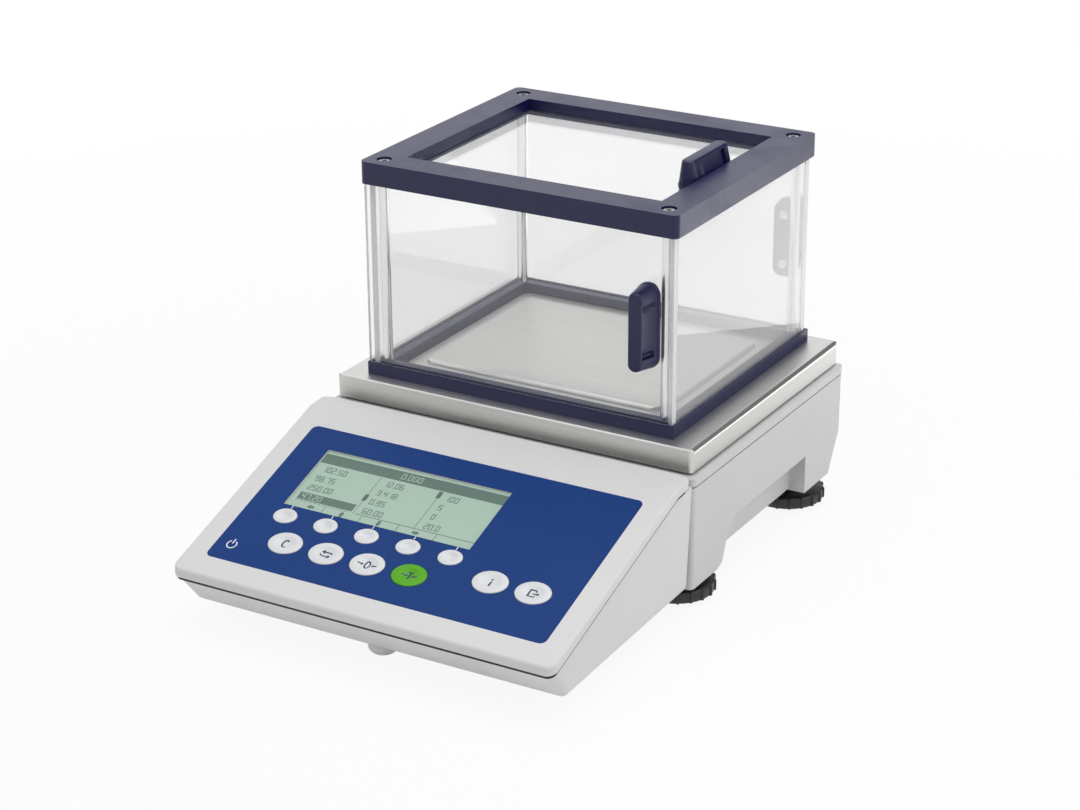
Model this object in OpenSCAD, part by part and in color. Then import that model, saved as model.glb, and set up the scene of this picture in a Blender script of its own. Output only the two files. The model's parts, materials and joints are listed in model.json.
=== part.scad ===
// Compact precision balance: base on levelling feet, sloped terminal, glass draft shield with sliding doors.
// Frame: +Z up, X to the right seen from the front, Y to the back, origin on the table under the middle.

/* [Load plate] */
// Width of the stainless load plate
plate_w = 243.5; // [226:0.5:244]
// Depth of the stainless load plate
plate_d = 200; // [196:1:205]
// Height of the load plate's top above the table
plate_z = 101; // [99:0.5:106]
// Height of the plate's turned-down skirt
plate_skirt = 14.4; // [12:0.1:15]
// Sheet thickness of the load plate
plate_t = 1.5; // [1:0.1:2]
// Radius of the plate's corners seen from above
plate_corner_r = 2.5; // [2.5:0.1:6]
// Radius of the plate's top edges
plate_edge_r = 2; // [0.5:0.1:2.4]
// Shadow gap between the skirt and the base cover
plate_gap = 1.5; // [1:0.1:4]
// Radius of the hole in the plate for the pan's column
column_hole_r = 22; // [14:0.5:35]
// Distance of the carrying posts from the plate's middle, front to back
post_y = 50; // [35:1:58]
// Radius of a carrying post
post_r = 6; // [5:0.1:7]

/* [Base] */
// Width of the base cover
base_w = 250; // [248:1:254]
// Depth of the base cover
base_d = 207; // [207:1:214]
// Radius of the base's upright corners
base_corner_r = 4; // [3:0.5:8]
// Height of the cover's band
cover_band = 5.4; // [5:0.1:8]
// Thickness of the cover's top
cover_t = 3; // [2:0.1:4]
// Radius of the cover's top edges
cover_edge_r = 2; // [0.5:0.1:2.8]
// How far the cover stands out past the housing
cover_overhang = 0.4; // [0.2:0.1:1.5]
// Open seam between the cover's band and the housing
seam = 1.2; // [0.4:0.1:1.5]
// Wall thickness of the housing
wall = 3; // [2.5:0.1:3.5]
// Height of the rear legs' undersides above the table
leg_z = 16; // [15:0.5:18]
// Height of the front legs' undersides above the table
front_leg_z = 14.2; // [14:0.1:16]
// Height of the arches' tops above the table
arch_z = 41; // [39:0.5:44]
// Height of the belly's underside above the table
belly_z = 24; // [22:0.5:26]
// Width of a leg from the housing's side
leg_w = 31; // [29:0.5:33]
// Distance of the apron between the legs behind the housing's side
apron_in = 10.7; // [8:0.1:14]
// Height of the apron's lower edge above the table
apron_z = 17; // [16:0.5:20]
// Length of a front leg's underside from the housing's front
front_leg_l = 33; // [32:0.5:35]
// Length of the heel's bevel behind a front leg
heel_l = 6.5; // [4:0.5:8]
// Height of the heel's bevel
heel_h = 2.6; // [1.5:0.1:4]
// Length of a front leg with its steep back up to the knee
knee_l = 43.7; // [42:0.1:45]
// Height of the knee above the leg's underside
knee_h = 13.3; // [10:0.1:15]
// Length of a front leg up to the arch's top
ramp_l = 57; // [55:0.5:60]
// Distance from the housing's back to a rear leg's front face
rear_leg_in = 52.5; // [48:0.5:56]
// Length of the slant at the back
slant_l = 17.5; // [14:0.5:18.5]
// Height of the slant at the back
slant_h = 30; // [24:0.5:32]
// Distance from the housing's front or back to the belly
belly_in = 7; // [5:0.5:9]
// Extra distance from the housing's back to the belly
belly_rear_in = 11.5; // [11:0.5:14]

/* [Levelling feet] */
// Distance from the base's side to a foot's axis
foot_side_in = 21; // [19:0.5:23]
// Distance from the base's front to a front foot's axis
foot_front_in = 20.5; // [16:0.5:21]
// Distance from the base's back to a rear foot's axis
foot_rear_in = 34.5; // [31:0.5:38]
// Radius of a knob between its ribs
knob_r = 23; // [18:0.5:24]
// Thickness of a knob
knob_h = 7.5; // [7:0.1:8]
// Number of ribs round a knob
ribs = 18; // [12:1:24]
// Height of a rib
rib_h = 1; // [0.6:0.1:2]
// Width of a rib
rib_w = 1.4; // [1:0.1:2.4]
// Radius of a rubber pad
pad_r = 9; // [7:0.5:14]
// Thickness of a rubber pad
pad_h = 3; // [2.5:0.1:3.5]
// Radius of a stud
stud_r = 4; // [3:0.5:5]
// Length of a stud above its knob
stud_l = 29; // [24:0.5:30]
// Radial play of a stud in its leg and of a pad in its knob
stud_fit = 0.06; // [0.03:0.01:0.1]

/* [Draft shield] */
// Width of the shield's frames
shield_w = 210; // [206:1:214]
// Depth of the shield's frames
shield_d = 182; // [178:1:186]
// Height of the shield above the load plate
shield_h = 135.5; // [125:0.5:160]
// Height of the top frame
top_h = 13.8; // [13.2:0.1:16]
// Height of the bottom frame
bottom_h = 8; // [7:0.1:10]
// Width of the bottom frame's rails
bottom_rail = 12; // [11.5:0.1:13]
// Width of the top frame's rails
top_rail = 19.5; // [18.5:0.1:22]
// Thickness of the lip outside the side panes
lip = 1.6; // [1.2:0.1:2]
// Thickness of the glass
glass_t = 4; // [3.4:0.1:4.2]
// Play between glass and frame
glass_gap = 0.3; // [0.2:0.05:0.4]
// Depth of the bottom frame's grooves
bottom_groove = 4; // [3:0.1:5]
// Depth of the top frame's grooves
top_groove = 2.5; // [2:0.1:2.7]
// How far the top frame stands out past the bottom frame
top_over = 1.2; // [0.5:0.1:2]
// Radius of the top frame's upright corners
top_corner_r = 4; // [2:0.1:5]
// Thickness of the top glass
top_glass_t = 2.5; // [2:0.1:2.7]
// How far the top glass lies below the top frame's upper face
top_glass_in = 7.5; // [5:0.1:7.7]
// How far the top glass reaches into the rails
glass_reach = 3.8; // [3:0.1:4.2]
// Width of the rebate under the top frame's inner edge
rebate_w = 4.5; // [3:0.1:5]
// Height of that rebate
rebate_h = 2; // [1:0.1:2.3]
// Diameter of a corner rod
rod_d = 6; // [5.5:0.1:6.2]
// Gap between a rod and the panes
rod_gap = 0.8; // [0.6:0.1:1]
// How far a rod stands in each frame
rod_seat = 2; // [1.5:0.1:2.5]
// Radius of the counterbores over the rods
counterbore_r = 4.6; // [4:0.1:4.8]

/* [Door handles] */
// Width of a handle's foot
handle_w = 15; // [14:0.5:16]
// Length of a handle's foot
handle_l = 52; // [51:0.5:58]
// Thickness of a handle's foot
handle_foot_t = 3; // [2:0.1:3.5]
// Height of a handle over the glass
handle_h = 17; // [15:0.1:18.5]
// Width of the grip at the foot
grip_w = 12.2; // [11.6:0.1:13]
// Length of the grip at the foot
grip_l = 50; // [48.5:0.5:51]
// Width of the grip's face
grip_face_w = 7.8; // [7:0.1:8.4]
// Length of the grip's face
grip_face_l = 47.6; // [44:0.2:48]
// How far the grip's face lies to the left of the foot's middle
grip_lean = 0.8; // [0:0.1:2]
// Length of the finger recess in the grip's sides
recess_l = 33; // [28:0.5:38]
// Depth of the finger recess
recess_in = 1.3; // [0.6:0.1:1.8]
// Distance from the shield's right side to the handles on the front and rear doors
handle_in = 17.5; // [17:0.1:24]
// Height of those handles' middles above the load plate
handle_up = 67; // [60:0.5:75]
// Distance of the top door's handle in front of the shield's middle
top_handle_front = 1.5; // [-10:0.5:10]
// Distance between a handle's two screws
handle_screw_pitch = 32; // [26:0.5:40]
// Width of a backing plate
backing_w = 11; // [9:0.1:11.4]
// Length of a backing plate
backing_l = 48; // [44:0.5:52]
// Thickness of a backing plate
backing_t = 2; // [1.5:0.1:2.2]

/* [Weighing pan] */
// Gap between the pan's brim and the bottom frame
pan_gap = 2.5; // [1.5:0.1:4]
// Height of the brim above the load plate
pan_lift = 1.5; // [1.2:0.1:2]
// Height of the plateau above the brim's underside
pan_rise = 4; // [3.5:0.1:4.8]
// Sheet thickness of the pan
pan_t = 1.2; // [0.8:0.1:1.5]
// Width of the brim at the sides
brim_side = 8.5; // [6:0.5:14]
// Width of the brim at the front and back
brim_end = 12.5; // [6:0.5:16]
// Radius of the pan's corners seen from above
pan_corner_r = 8; // [5:0.5:12]
// Radius of the plateau's edges
pan_edge_r = 2.5; // [0.5:0.1:2.6]
// Width of the support under the pan
support_w = 130; // [90:1:140]
// Depth of the support under the pan
support_d = 96; // [70:1:104]
// Thickness of the support under the pan
support_t = 2; // [1.5:0.1:2]
// Radius of the support's column
column_r = 9; // [7:0.5:12]

/* [Weigh cell] */
// Width of the cell block
cell_w = 56; // [50:1:60]
// Thickness of the cell block's slab
cell_slab_t = 6; // [6:0.1:7]
// Height of the cell block's tower above the belly's floor
cell_h = 43; // [38:0.5:44]
// Length of the cell block's tower
tower_l = 34; // [26:0.5:36]
// Length of the load hanger
hanger_l = 26; // [24:0.5:30]
// Open length between hanger and tower
leaf_l = 15; // [12:0.5:16]
// Thickness of a guide leaf
leaf_t = 1.2; // [0.8:0.1:1.4]
// Free room round the moving hanger
hanger_gap = 0.5; // [0.5:0.05:0.8]

/* [Terminal] */
// Width of the terminal cover
term_w = 252.6; // [246:0.2:256]
// Depth of the terminal cover
term_d = 153.7; // [150:0.1:160]
// Gap between the terminal cover and the base cover
term_gap = 9.4; // [8.5:0.1:12]
// Height of the cover's front edge above the table
term_front_z = 38.9; // [38:0.1:41]
// Slope of the operating face in degrees
slope = 18.97; // [18:0.01:20]
// Length of the flatter strip at the cover's back
back_flat = 11.4; // [8:0.1:13]
// Slope of that strip in degrees
back_slope = 4.5; // [0:0.1:8]
// Radius of the terminal's upright corners
term_corner_r = 6; // [5.5:0.1:9]
// Height of the cover's band at the sides
band_h = 5.5; // [5:0.1:7]
// Thickness of the gasket in the seam
gasket_t = 2.2; // [1:0.1:2.6]
// How far the gasket lies behind the cover's side
gasket_in = 1.2; // [0.6:0.1:1.6]
// How far the shell lies behind the cover's side
shell_in = 2; // [1.5:0.1:2.4]
// Distance of the shell's front lower edge behind the cover's front
chin_in = 18.6; // [15:0.1:20]
// Height of the shell's underside at the front
under_front_z = 12.1; // [11.5:0.1:14]
// Height of the shell's underside at the back
under_rear_z = 16; // [15:0.1:17]
// Radius of the stop under the shell's front
stop_r = 9; // [7:0.5:10]
// Distance of the stop behind the cover's front
stop_in = 28; // [28:0.5:34]
// Clearance of the stop over the table
stop_clear = 4.6; // [1:0.1:6]
// Width of the bracket between terminal and base
bracket_w = 120; // [100:1:150]
// Height of the bracket
bracket_h = 24; // [20:1:28]
// Height of the bracket's middle above the table
bracket_z = 58; // [57:0.5:60]
// Radius of the link cable
cable_r = 2.5; // [1.5:0.1:3]

/* [Panel and keys] */
// Width of the keypad panel
panel_w = 224.8; // [218:0.2:226]
// Length of the keypad panel along the slope
panel_l = 119.8; // [117:0.1:122]
// Distance from the cover's front edge to the panel along the slope
panel_in = 15.1; // [13:0.1:17]
// Thickness of the panel's foil
panel_t = 0.4; // [0.2:0.05:0.6]
// Radius of the panel's corners
panel_r = 4; // [2:0.1:6]
// Width of the display window
lcd_w = 126.9; // [120:0.1:128]
// Length of the display window along the slope
lcd_l = 50.2; // [46:0.1:51]
// Sideways place of the display's middle
lcd_x = -28.3; // [-29:0.1:-26]
// Distance from the panel's front edge to the display
lcd_s = 52.9; // [52.4:0.1:55]
// Thickness of the display window
lens_t = 1.5; // [1:0.1:1.8]
// Width of the ledge under the display window
lens_ledge = 2; // [1:0.1:2.4]
// Thickness of the display module
lcd_module_t = 5; // [4:0.1:6]
// Width of a soft key
soft_d = 15.2; // [12:0.1:16]
// Distance between soft keys
soft_pitch = 28.1; // [26:0.1:29]
// Distance from the panel's front edge to the soft keys
soft_s = 43.7; // [42:0.1:44.2]
// Width of a large key
key_d = 21.8; // [18:0.1:22]
// Length of an oval key along the slope as a share of its width
key_oval = 0.79; // [0.7:0.01:1]
// Distance between large keys
key_pitch = 28; // [26:0.1:29]
// Sideways place of the first large key
key_x = -71.3; // [-74:0.1:-68]
// Distance from the panel's front edge to the large keys
key_s = 23.5; // [21:0.1:24]
// Sideways place of the first menu key
menu_x = 59.9; // [58:0.1:62]
// Distance between the menu keys
menu_pitch = 27.3; // [26:0.1:29]
// Distance from the panel's front edge to the menu keys
menu_s = 33.4; // [30:0.1:36]
// Height of a key over the panel
key_rise = 0.6; // [0.5:0.1:1.5]
// Travel of a key
key_travel = 0.6; // [0.3:0.05:0.8]
// Play round a key
key_gap = 0.35; // [0.3:0.05:0.5]
// Width of a key's flange under the cover
key_flange = 0.9; // [0.7:0.1:1]
// Thickness of a key's flange
flange_t = 1.2; // [0.8:0.1:1.5]

/* [Inside and screws] */
// Depth of the main board under the operating face
board_in = 13; // [12:0.1:14]
// Thickness of a circuit board
board_t = 1.6; // [1:0.1:2]
// Distance from the panel's edges to the main board's edges
board_edge = 6; // [5:0.5:8]
// Radius of a key switch
switch_r = 3.5; // [2.5:0.1:4]
// Radius of an M4 screw's shank
screw_r = 2; // [1.6:0.1:2]
// Radius of an M4 cap head
head_r = 3.5; // [3:0.1:3.8]
// Height of an M4 cap head
head_h = 4; // [3:0.1:4]
// Length of an assembly screw's shank
screw_l = 8; // [7:0.1:8.5]
// Length of a rod screw's shank
rod_screw_l = 12; // [10:0.5:14]
// Radius of a handle screw's shank
small_screw_r = 1.5; // [1.2:0.1:1.6]
// Radius of a handle screw's head
small_head_r = 2.75; // [2.4:0.05:3]
// Height of a handle screw's head
small_head_h = 1.5; // [1:0.1:1.6]
// Radial play of a screw in its hole
screw_fit = 0.1; // [0.05:0.05:0.2]
// Width of the power board
power_board_w = 46; // [40:1:48]
// Length of the power board
power_board_l = 50; // [40:1:52]
// Radius of the power inlet's mouth
inlet_r = 3.2; // [2.8:0.1:3.5]
// Width of the data port's mouth
port_w = 12; // [11:0.5:13]
// Height of the data port's mouth
port_h = 8.5; // [7:0.5:9]

/* [Hidden] */
$fn = 64;
// Small step that keeps cutting faces from lying on cut faces
eps = 0.05;

// Plan: the terminal's front and whatever reaches furthest back lie equally far from the origin
rear_reach = max(base_d / 2, shield_d / 2 - lip - glass_gap + handle_h);
overall_d = term_d + term_gap + base_d / 2 + rear_reach;
front_y = -overall_d / 2;
plat_y = overall_d / 2 - rear_reach;

// Heights of the base
skirt_z = plate_z - plate_skirt;
cover_top = skirt_z - plate_gap;
cover_low = cover_top - cover_band;
housing_top = cover_low - seam;
rim_top = cover_top - cover_t;
floor_z = arch_z + wall;
belly_floor = belly_z + wall;

// Plan of the housing, from the plate's middle
house_w = base_w - 2 * cover_overhang;
house_d = base_d - 2 * cover_overhang;
house_r = base_corner_r - cover_overhang;
rim_wall = 2.4;
belly_w = house_w - 2 * leg_w;
belly_front = -house_d / 2 + belly_in;
belly_back = house_d / 2 - belly_in - belly_rear_in;
rim_play = 0.2;
rim_w = base_w - 2 * wall - 2 * rim_play;
rim_d = base_d - 2 * wall - 2 * rim_play;
cover_screw_x = 70;
cover_screw_front_in = 15.5;
cover_screw_front = -base_d / 2 + cover_screw_front_in;
cover_screw_back_in = 12.5;
cover_screw_back = base_d / 2 - cover_screw_back_in;
boss_r = 5;
post_play = 0.5;
cable_play = 0.3;
head_play = 0.4;

// Levelling feet
foot_x = base_w / 2 - foot_side_in;
foot_front = -base_d / 2 + foot_front_in;
foot_rear = base_d / 2 - foot_rear_in;
pad_pin_r = 3;
pad_pin_l = 3;
pad_play = 0.3;

// Draft shield, from the plate's middle and top
pane_x = shield_w / 2 - lip - glass_gap - glass_t / 2;
pane_y = shield_d / 2 - lip - glass_gap - glass_t / 2;
groove_w = glass_t + 2 * glass_gap;
groove_left = -shield_w / 2 - top_over - 1;
groove_right = shield_w / 2 - lip;
door_right = groove_right - glass_gap;
rod_x = pane_x - glass_t / 2 - rod_gap - rod_d / 2;
rod_y = pane_y - glass_t / 2 - rod_gap - rod_d / 2;
top_low = shield_h - top_h;
pane_low = bottom_h - bottom_groove;
pane_top = top_low + top_groove - 2 * glass_gap;
pane_end = 0.4;
open_w = shield_w - 2 * top_rail;
open_d = shield_d - 2 * top_rail;
top_glass_top = shield_h - top_glass_in;
top_glass_low = top_glass_top - top_glass_t;
top_pane_in = 1;
top_pane_left = -shield_w / 2 + top_pane_in;
top_pane_right = open_w / 2 + glass_reach;
head_sink = 1;
counterbore_z = shield_h - head_sink - head_h;
post_x = shield_w / 2 - bottom_rail / 2;
side_pane_l = 2 * (pane_y - glass_t / 2 - pane_end);

// Handles
handle_x = shield_w / 2 - handle_in;
handle_play = 0.5;
top_handle_x = open_w / 2 - handle_play - handle_w / 2;
recess_r = 14;
thread_l = 6;
screw_grip = 5;
glass_hole_r = small_screw_r + 0.5;
// Radius of a nearly half-round end as a share of the width
round_end = 0.48;
backing_right = handle_in - (shield_w / 2 - rod_x) - rod_d / 2 - rod_gap;
backing_x = backing_right - backing_w / 2;

// Pan, from the plate's middle and top
brim_w = shield_w - 2 * bottom_rail - 2 * pan_gap;
brim_d = shield_d - 2 * bottom_rail - 2 * pan_gap;
plateau_w = brim_w - 2 * brim_side;
plateau_d = brim_d - 2 * brim_end;
pan_top = pan_lift + pan_rise;
support_top = pan_top - pan_t;

// Weigh cell, from the plate's middle and the table
hanger_clear = 0.8;
hanger_low = belly_floor + cell_slab_t + hanger_clear;
cell_top = belly_floor + cell_h;
cell_step = 4;
hanger_w = cell_w - 2 * cell_step;
leaf_w = hanger_w - 2 * cell_step;
leaf_in = 9;
tower_front = hanger_l / 2 + leaf_l;
slab_front = -hanger_l / 2 - leaf_in;
slab_back = tower_front + tower_l;
leaf_edge = 6;
leaf_low_z = hanger_low + leaf_edge;
leaf_high_z = cell_top - leaf_edge;
column_flange_h = 4;
column_flange_r = column_r + 3;

// Terminal profile: height of the top at a distance behind the front
bend_d = term_d - back_flat;
bend_z = term_front_z + bend_d * tan(slope);
function top_at(d) =
    d <= bend_d ? term_front_z + d * tan(slope) : bend_z + (d - bend_d) * tan(back_slope);
function top_line(d0, d1, off) =
    [for (d = [d0, bend_d, d1]) [front_y + d, top_at(d) - off]];
function under_at(d) =
    under_front_z + (d - chin_in) * (under_rear_z - under_front_z) / (term_d - chin_in);
function backwards(points) = [for (i = [len(points) - 1 : -1 : 0]) points[i]];
skin = wall / cos(slope);
shell_off = band_h + gasket_t;
plan_h = 2 * bend_z;
shell_back = term_d - shell_in / 2;
term_screw_side_in = 12.5;
term_screw_x = term_w / 2 - term_screw_side_in;
term_screw_front = 34;
term_screw_back_in = 15;
term_screw_back = term_d - term_screw_back_in;
term_boss_r = 5.5;
seat_up = head_h + 0.6;
seat_t = 3.4;
bracket_front = front_y + shell_back;
bracket_back = plat_y - house_d / 2;
bracket_l = bracket_back - bracket_front;
base_bolt_in = 14;
base_bolt_x = bracket_w / 2 - base_bolt_in;
term_bolt_in = 36;
term_bolt_x = bracket_w / 2 - term_bolt_in;

// Keys: sideways place, place along the slope, diameter
soft_keys = [for (i = [-2 : 2]) [lcd_x + i * soft_pitch, soft_s, soft_d]];
large_keys = [for (i = [0 : 3]) [key_x + i * key_pitch, key_s, key_d]];
menu_keys = [for (i = [0 : 1]) [menu_x + i * menu_pitch, menu_s, key_d]];
keys = concat(soft_keys, large_keys, menu_keys);
key_dish = 0.4;
key_dish_share = 0.66;
oval_steps = 48;
oval_step = 360 / oval_steps;
flange_top = -wall - 0.4;
flange_low = flange_top - flange_t;
board_top = -board_in + board_t;
switch_top = flange_low - key_travel - 0.35;
lcd_module_w = lcd_w + 6;
lcd_module_l = lcd_l + 4;
board_boss_in = board_edge + 6;
board_boss_r = 3;

// Connectors on the belly's rear wall and the board behind them, from the plate's middle
inlet_out = 14;
inlet_x = belly_w / 4 + inlet_out;
port_out = 4;
port_x = -belly_w / 4 - port_out;
port_wall = 2;
port_play = 0.2;
inlet_wall = 2.2;
inlet_flange = 2;
connector_z = belly_floor + port_h / 2 + port_wall + 0.3;
port_l = 15;
inlet_l = 12;
power_board_x = belly_w / 2 - 8 - power_board_w / 2;
power_board_back = 42;
power_board_y = belly_back - power_board_back;
standoff_h = 5;
standoff_r = 3;

// Colours
pale_grey = [0.86, 0.87, 0.87];
navy = [0.14, 0.15, 0.31];
royal = [0.15, 0.25, 0.52];
steel = [0.72, 0.72, 0.70];
glass = [0.85, 0.92, 0.92, 0.3];
black = [0.08, 0.08, 0.09];

// Shared shapes

// Flat outline with round corners
module round_rect(w, d, r) {
    square([w - 2 * r, d], center = true);
    square([w, d - 2 * r], center = true);
    for (sx = [-1, 1], sy = [-1, 1])
        translate([sx * (w / 2 - r), sy * (d / 2 - r)])
            circle(r);
}

// Upright block with round upright corners
module block(w, d, h, r) {
    linear_extrude(h)
        round_rect(w, d, r);
}

// Flat outline standing on its base line, with round upper corners
module arched_rect(w, h, r) {
    translate([-w / 2, 0])
        square([w, h - r]);
    translate([-w / 2 + r, 0])
        square([w - 2 * r, h]);
    for (s = [-1, 1])
        translate([s * (w / 2 - r), h - r])
            circle(r);
}

// Block with round upright corners and round top edges
module soft_block(w, d, h, r, edge_r) {
    intersection() {
        block(w, d, h, r);
        rotate([90, 0, 0])
            linear_extrude(2 * d, center = true)
                arched_rect(w, h, edge_r);
        along_x(2 * w)
            arched_rect(d, h, edge_r);
    }
}

// Outline in Y and Z drawn out along X
module along_x(l) {
    rotate([90, 0, 90])
        linear_extrude(l, center = true)
            children();
}

// Box centred in X and Y that stands on its base
module box(w, d, h) {
    translate([-w / 2, -d / 2, 0])
        cube([w, d, h]);
}

module at_corners(x, y) {
    for (sx = [-1, 1], sy = [-1, 1])
        translate([sx * x, sy * y, 0])
            children();
}

module on_platform(z = 0) {
    translate([0, plat_y, z])
        children();
}

module on_panel(x = 0, s = 0, z = 0) {
    translate([0, front_y + panel_in * cos(slope), term_front_z + panel_in * sin(slope)])
        rotate([slope, 0, 0])
            translate([x, s, z])
                children();
}

// Cap screw with its head below the origin and its shank upwards
module cap_screw(l) {
    socket_r = 0.5 * head_r;
    difference() {
        union() {
            translate([0, 0, -head_h])
                cylinder(r = head_r, h = head_h);
            cylinder(r = screw_r, h = l);
        }
        translate([0, 0, -head_h - eps])
            cylinder(r = socket_r, h = head_h / 2, $fn = 6);
    }
}

// Draft shield

// Grooves for the standing panes, cut upwards from z with a depth: the doors' grooves are open on the left
module pane_grooves(z, depth) {
    for (s = [-1, 1]) {
        translate([(groove_left + groove_right) / 2, s * pane_y, z])
            box(groove_right - groove_left, groove_w, depth);
        translate([s * pane_x, 0, z])
            box(groove_w, 2 * pane_y, depth);
    }
}

module shield_bottom_frame() {
    color(navy)
        on_platform(plate_z)
            difference() {
                box(shield_w, shield_d, bottom_h);
                translate([0, 0, -1])
                    box(shield_w - 2 * bottom_rail, shield_d - 2 * bottom_rail, bottom_h + 2);
                pane_grooves(bottom_h - bottom_groove, bottom_groove + 1);
                at_corners(rod_x, rod_y) {
                    translate([0, 0, bottom_h - rod_seat])
                        cylinder(r = rod_d / 2 + eps, h = rod_seat + 1);
                    translate([0, 0, -1])
                        cylinder(r = screw_r + screw_fit, h = bottom_h);
                }
            }
}

module shield_top_frame() {
    slot_low = top_glass_low - glass_gap;
    slot_h = top_glass_t + 2 * glass_gap;
    slot_right = top_pane_right + 2 * glass_gap;
    slot_d = open_d + 2 * glass_reach + 2 * glass_gap;
    color(navy)
        on_platform(plate_z)
            difference() {
                translate([0, 0, top_low])
                    block(shield_w + 2 * top_over, shield_d + 2 * top_over, top_h, top_corner_r);
                translate([0, 0, top_low - 1])
                    box(open_w, open_d, top_h + 2);
                translate([0, 0, top_low - 1])
                    box(open_w + 2 * rebate_w, open_d + 2 * rebate_w, rebate_h + 1);
                translate([groove_left, -slot_d / 2, slot_low])
                    cube([slot_right - groove_left, slot_d, slot_h]);
                pane_grooves(top_low - 1, top_groove + 1);
                at_corners(rod_x, rod_y) {
                    translate([0, 0, top_low - 1])
                        cylinder(r = rod_d / 2 + eps, h = rod_seat + 1);
                    translate([0, 0, top_low])
                        cylinder(r = screw_r + screw_fit, h = top_h);
                    translate([0, 0, counterbore_z])
                        cylinder(r = counterbore_r, h = top_h);
                }
            }
}

module shield_rods() {
    rod_low = bottom_h - rod_seat;
    rod_l = top_low + rod_seat - rod_low;
    color(steel)
        on_platform(plate_z)
            at_corners(rod_x, rod_y)
                translate([0, 0, rod_low])
                    difference() {
                        cylinder(d = rod_d, h = rod_l);
                        for (z = [-1, rod_l - rod_screw_l])
                            translate([0, 0, z])
                                cylinder(r = screw_r + screw_fit, h = rod_screw_l + 1);
                    }
}

module rod_screws() {
    color(steel)
        on_platform(plate_z)
            at_corners(rod_x, rod_y) {
                translate([0, 0, -plate_t])
                    cap_screw(rod_screw_l);
                translate([0, 0, counterbore_z])
                    mirror([0, 0, 1])
                        cap_screw(rod_screw_l);
            }
}

module side_pane(side) {
    color(glass)
        on_platform(plate_z)
            translate([side * pane_x, 0, pane_low])
                box(glass_t, side_pane_l, pane_top - pane_low);
}

module left_pane() {
    side_pane(-1);
}

module right_pane() {
    side_pane(1);
}

// Doors

module handle_holes(r, h) {
    for (s = [-1, 1])
        translate([0, s * handle_screw_pitch / 2, 0])
            cylinder(r = r, h = h, center = true);
}

// Handle lying on the glass: X across, Y along, Z away from the glass
module handle() {
    color(navy)
        difference() {
            union() {
                block(handle_w, handle_l, handle_foot_t, round_end * handle_w);
                grip();
            }
            handle_holes(small_screw_r + screw_fit, 2 * thread_l);
        }
}

// Tapered grip that leans to the left, with a finger recess in both sides
module grip() {
    slice = 0.01;
    grip_h = handle_h - handle_foot_t;
    difference() {
        hull() {
            translate([0, 0, handle_foot_t - slice])
                block(grip_w, grip_l, slice, round_end * grip_w, $fn = 32);
            translate([-grip_lean, 0, handle_h - slice])
                block(grip_face_w, grip_face_l, slice, round_end * grip_face_w, $fn = 32);
        }
        for (s = [-1, 1]) {
            low_x = s * grip_w / 2;
            high_x = s * grip_face_w / 2 - grip_lean;
            tilt = atan2(s * (low_x - high_x), grip_h);
            translate([(low_x + high_x) / 2, 0, handle_foot_t + grip_h / 2])
                rotate([0, -s * tilt, 0])
                    translate([s * (recess_r - recess_in), 0, 0])
                        rotate([90, 0, 0])
                            cylinder(r = recess_r, h = recess_l, center = true);
        }
    }
}

// Backing plate on the inner side of a pane, in the handle's frame
module backing(pane_t) {
    color(navy)
        translate([backing_x, 0, -pane_t - backing_t])
            difference() {
                block(backing_w, backing_l, backing_t, round_end * backing_w);
                translate([-backing_x, 0, 0])
                    handle_holes(small_screw_r + screw_fit, 3 * backing_t);
            }
}

// Two screws through backing plate and pane, in the handle's frame
module handle_screws(pane_t) {
    bearing = -pane_t - backing_t;
    color(steel)
        for (s = [-1, 1])
            translate([0, s * handle_screw_pitch / 2, bearing]) {
                translate([0, 0, -small_head_h])
                    cylinder(r = small_head_r, h = small_head_h);
                cylinder(r = small_screw_r, h = screw_grip - bearing);
            }
}

module on_front_door() {
    on_platform(plate_z)
        translate([handle_x, -pane_y - glass_t / 2, handle_up])
            rotate([90, 0, 0])
                children();
}

module on_rear_door() {
    on_platform(plate_z)
        translate([handle_x, pane_y + glass_t / 2, handle_up])
            rotate([-90, 0, 0])
                children();
}

module on_top_door() {
    on_platform(plate_z)
        translate([top_handle_x, -top_handle_front, top_glass_top])
            children();
}

module standing_door_glass(side) {
    low = pane_low + glass_gap;
    on_platform(plate_z)
        translate([(door_right - shield_w / 2) / 2, side * pane_y, low])
            box(door_right + shield_w / 2, glass_t, pane_top - low);
}

module front_pane() {
    color(glass)
        difference() {
            standing_door_glass(-1);
            on_front_door()
                handle_holes(glass_hole_r, 3 * glass_t);
        }
}

module front_handle() {
    on_front_door()
        handle();
}

module front_backing() {
    on_front_door()
        backing(glass_t);
}

module front_handle_screws() {
    on_front_door()
        handle_screws(glass_t);
}

module rear_pane() {
    color(glass)
        difference() {
            standing_door_glass(1);
            on_rear_door()
                handle_holes(glass_hole_r, 3 * glass_t);
        }
}

module rear_handle() {
    on_rear_door()
        handle();
}

module rear_backing() {
    on_rear_door()
        backing(glass_t);
}

module rear_handle_screws() {
    on_rear_door()
        handle_screws(glass_t);
}

module top_pane() {
    color(glass)
        difference() {
            on_platform(plate_z)
                translate([top_pane_left, -open_d / 2 - glass_reach, top_glass_low])
                    cube([top_pane_right - top_pane_left, open_d + 2 * glass_reach, top_glass_t]);
            on_top_door()
                handle_holes(glass_hole_r, 3 * glass_t);
        }
}

module top_handle() {
    on_top_door()
        handle();
}

module top_backing() {
    on_top_door()
        backing(top_glass_t);
}

module top_handle_screws() {
    on_top_door()
        handle_screws(top_glass_t);
}

// Platform

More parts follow.
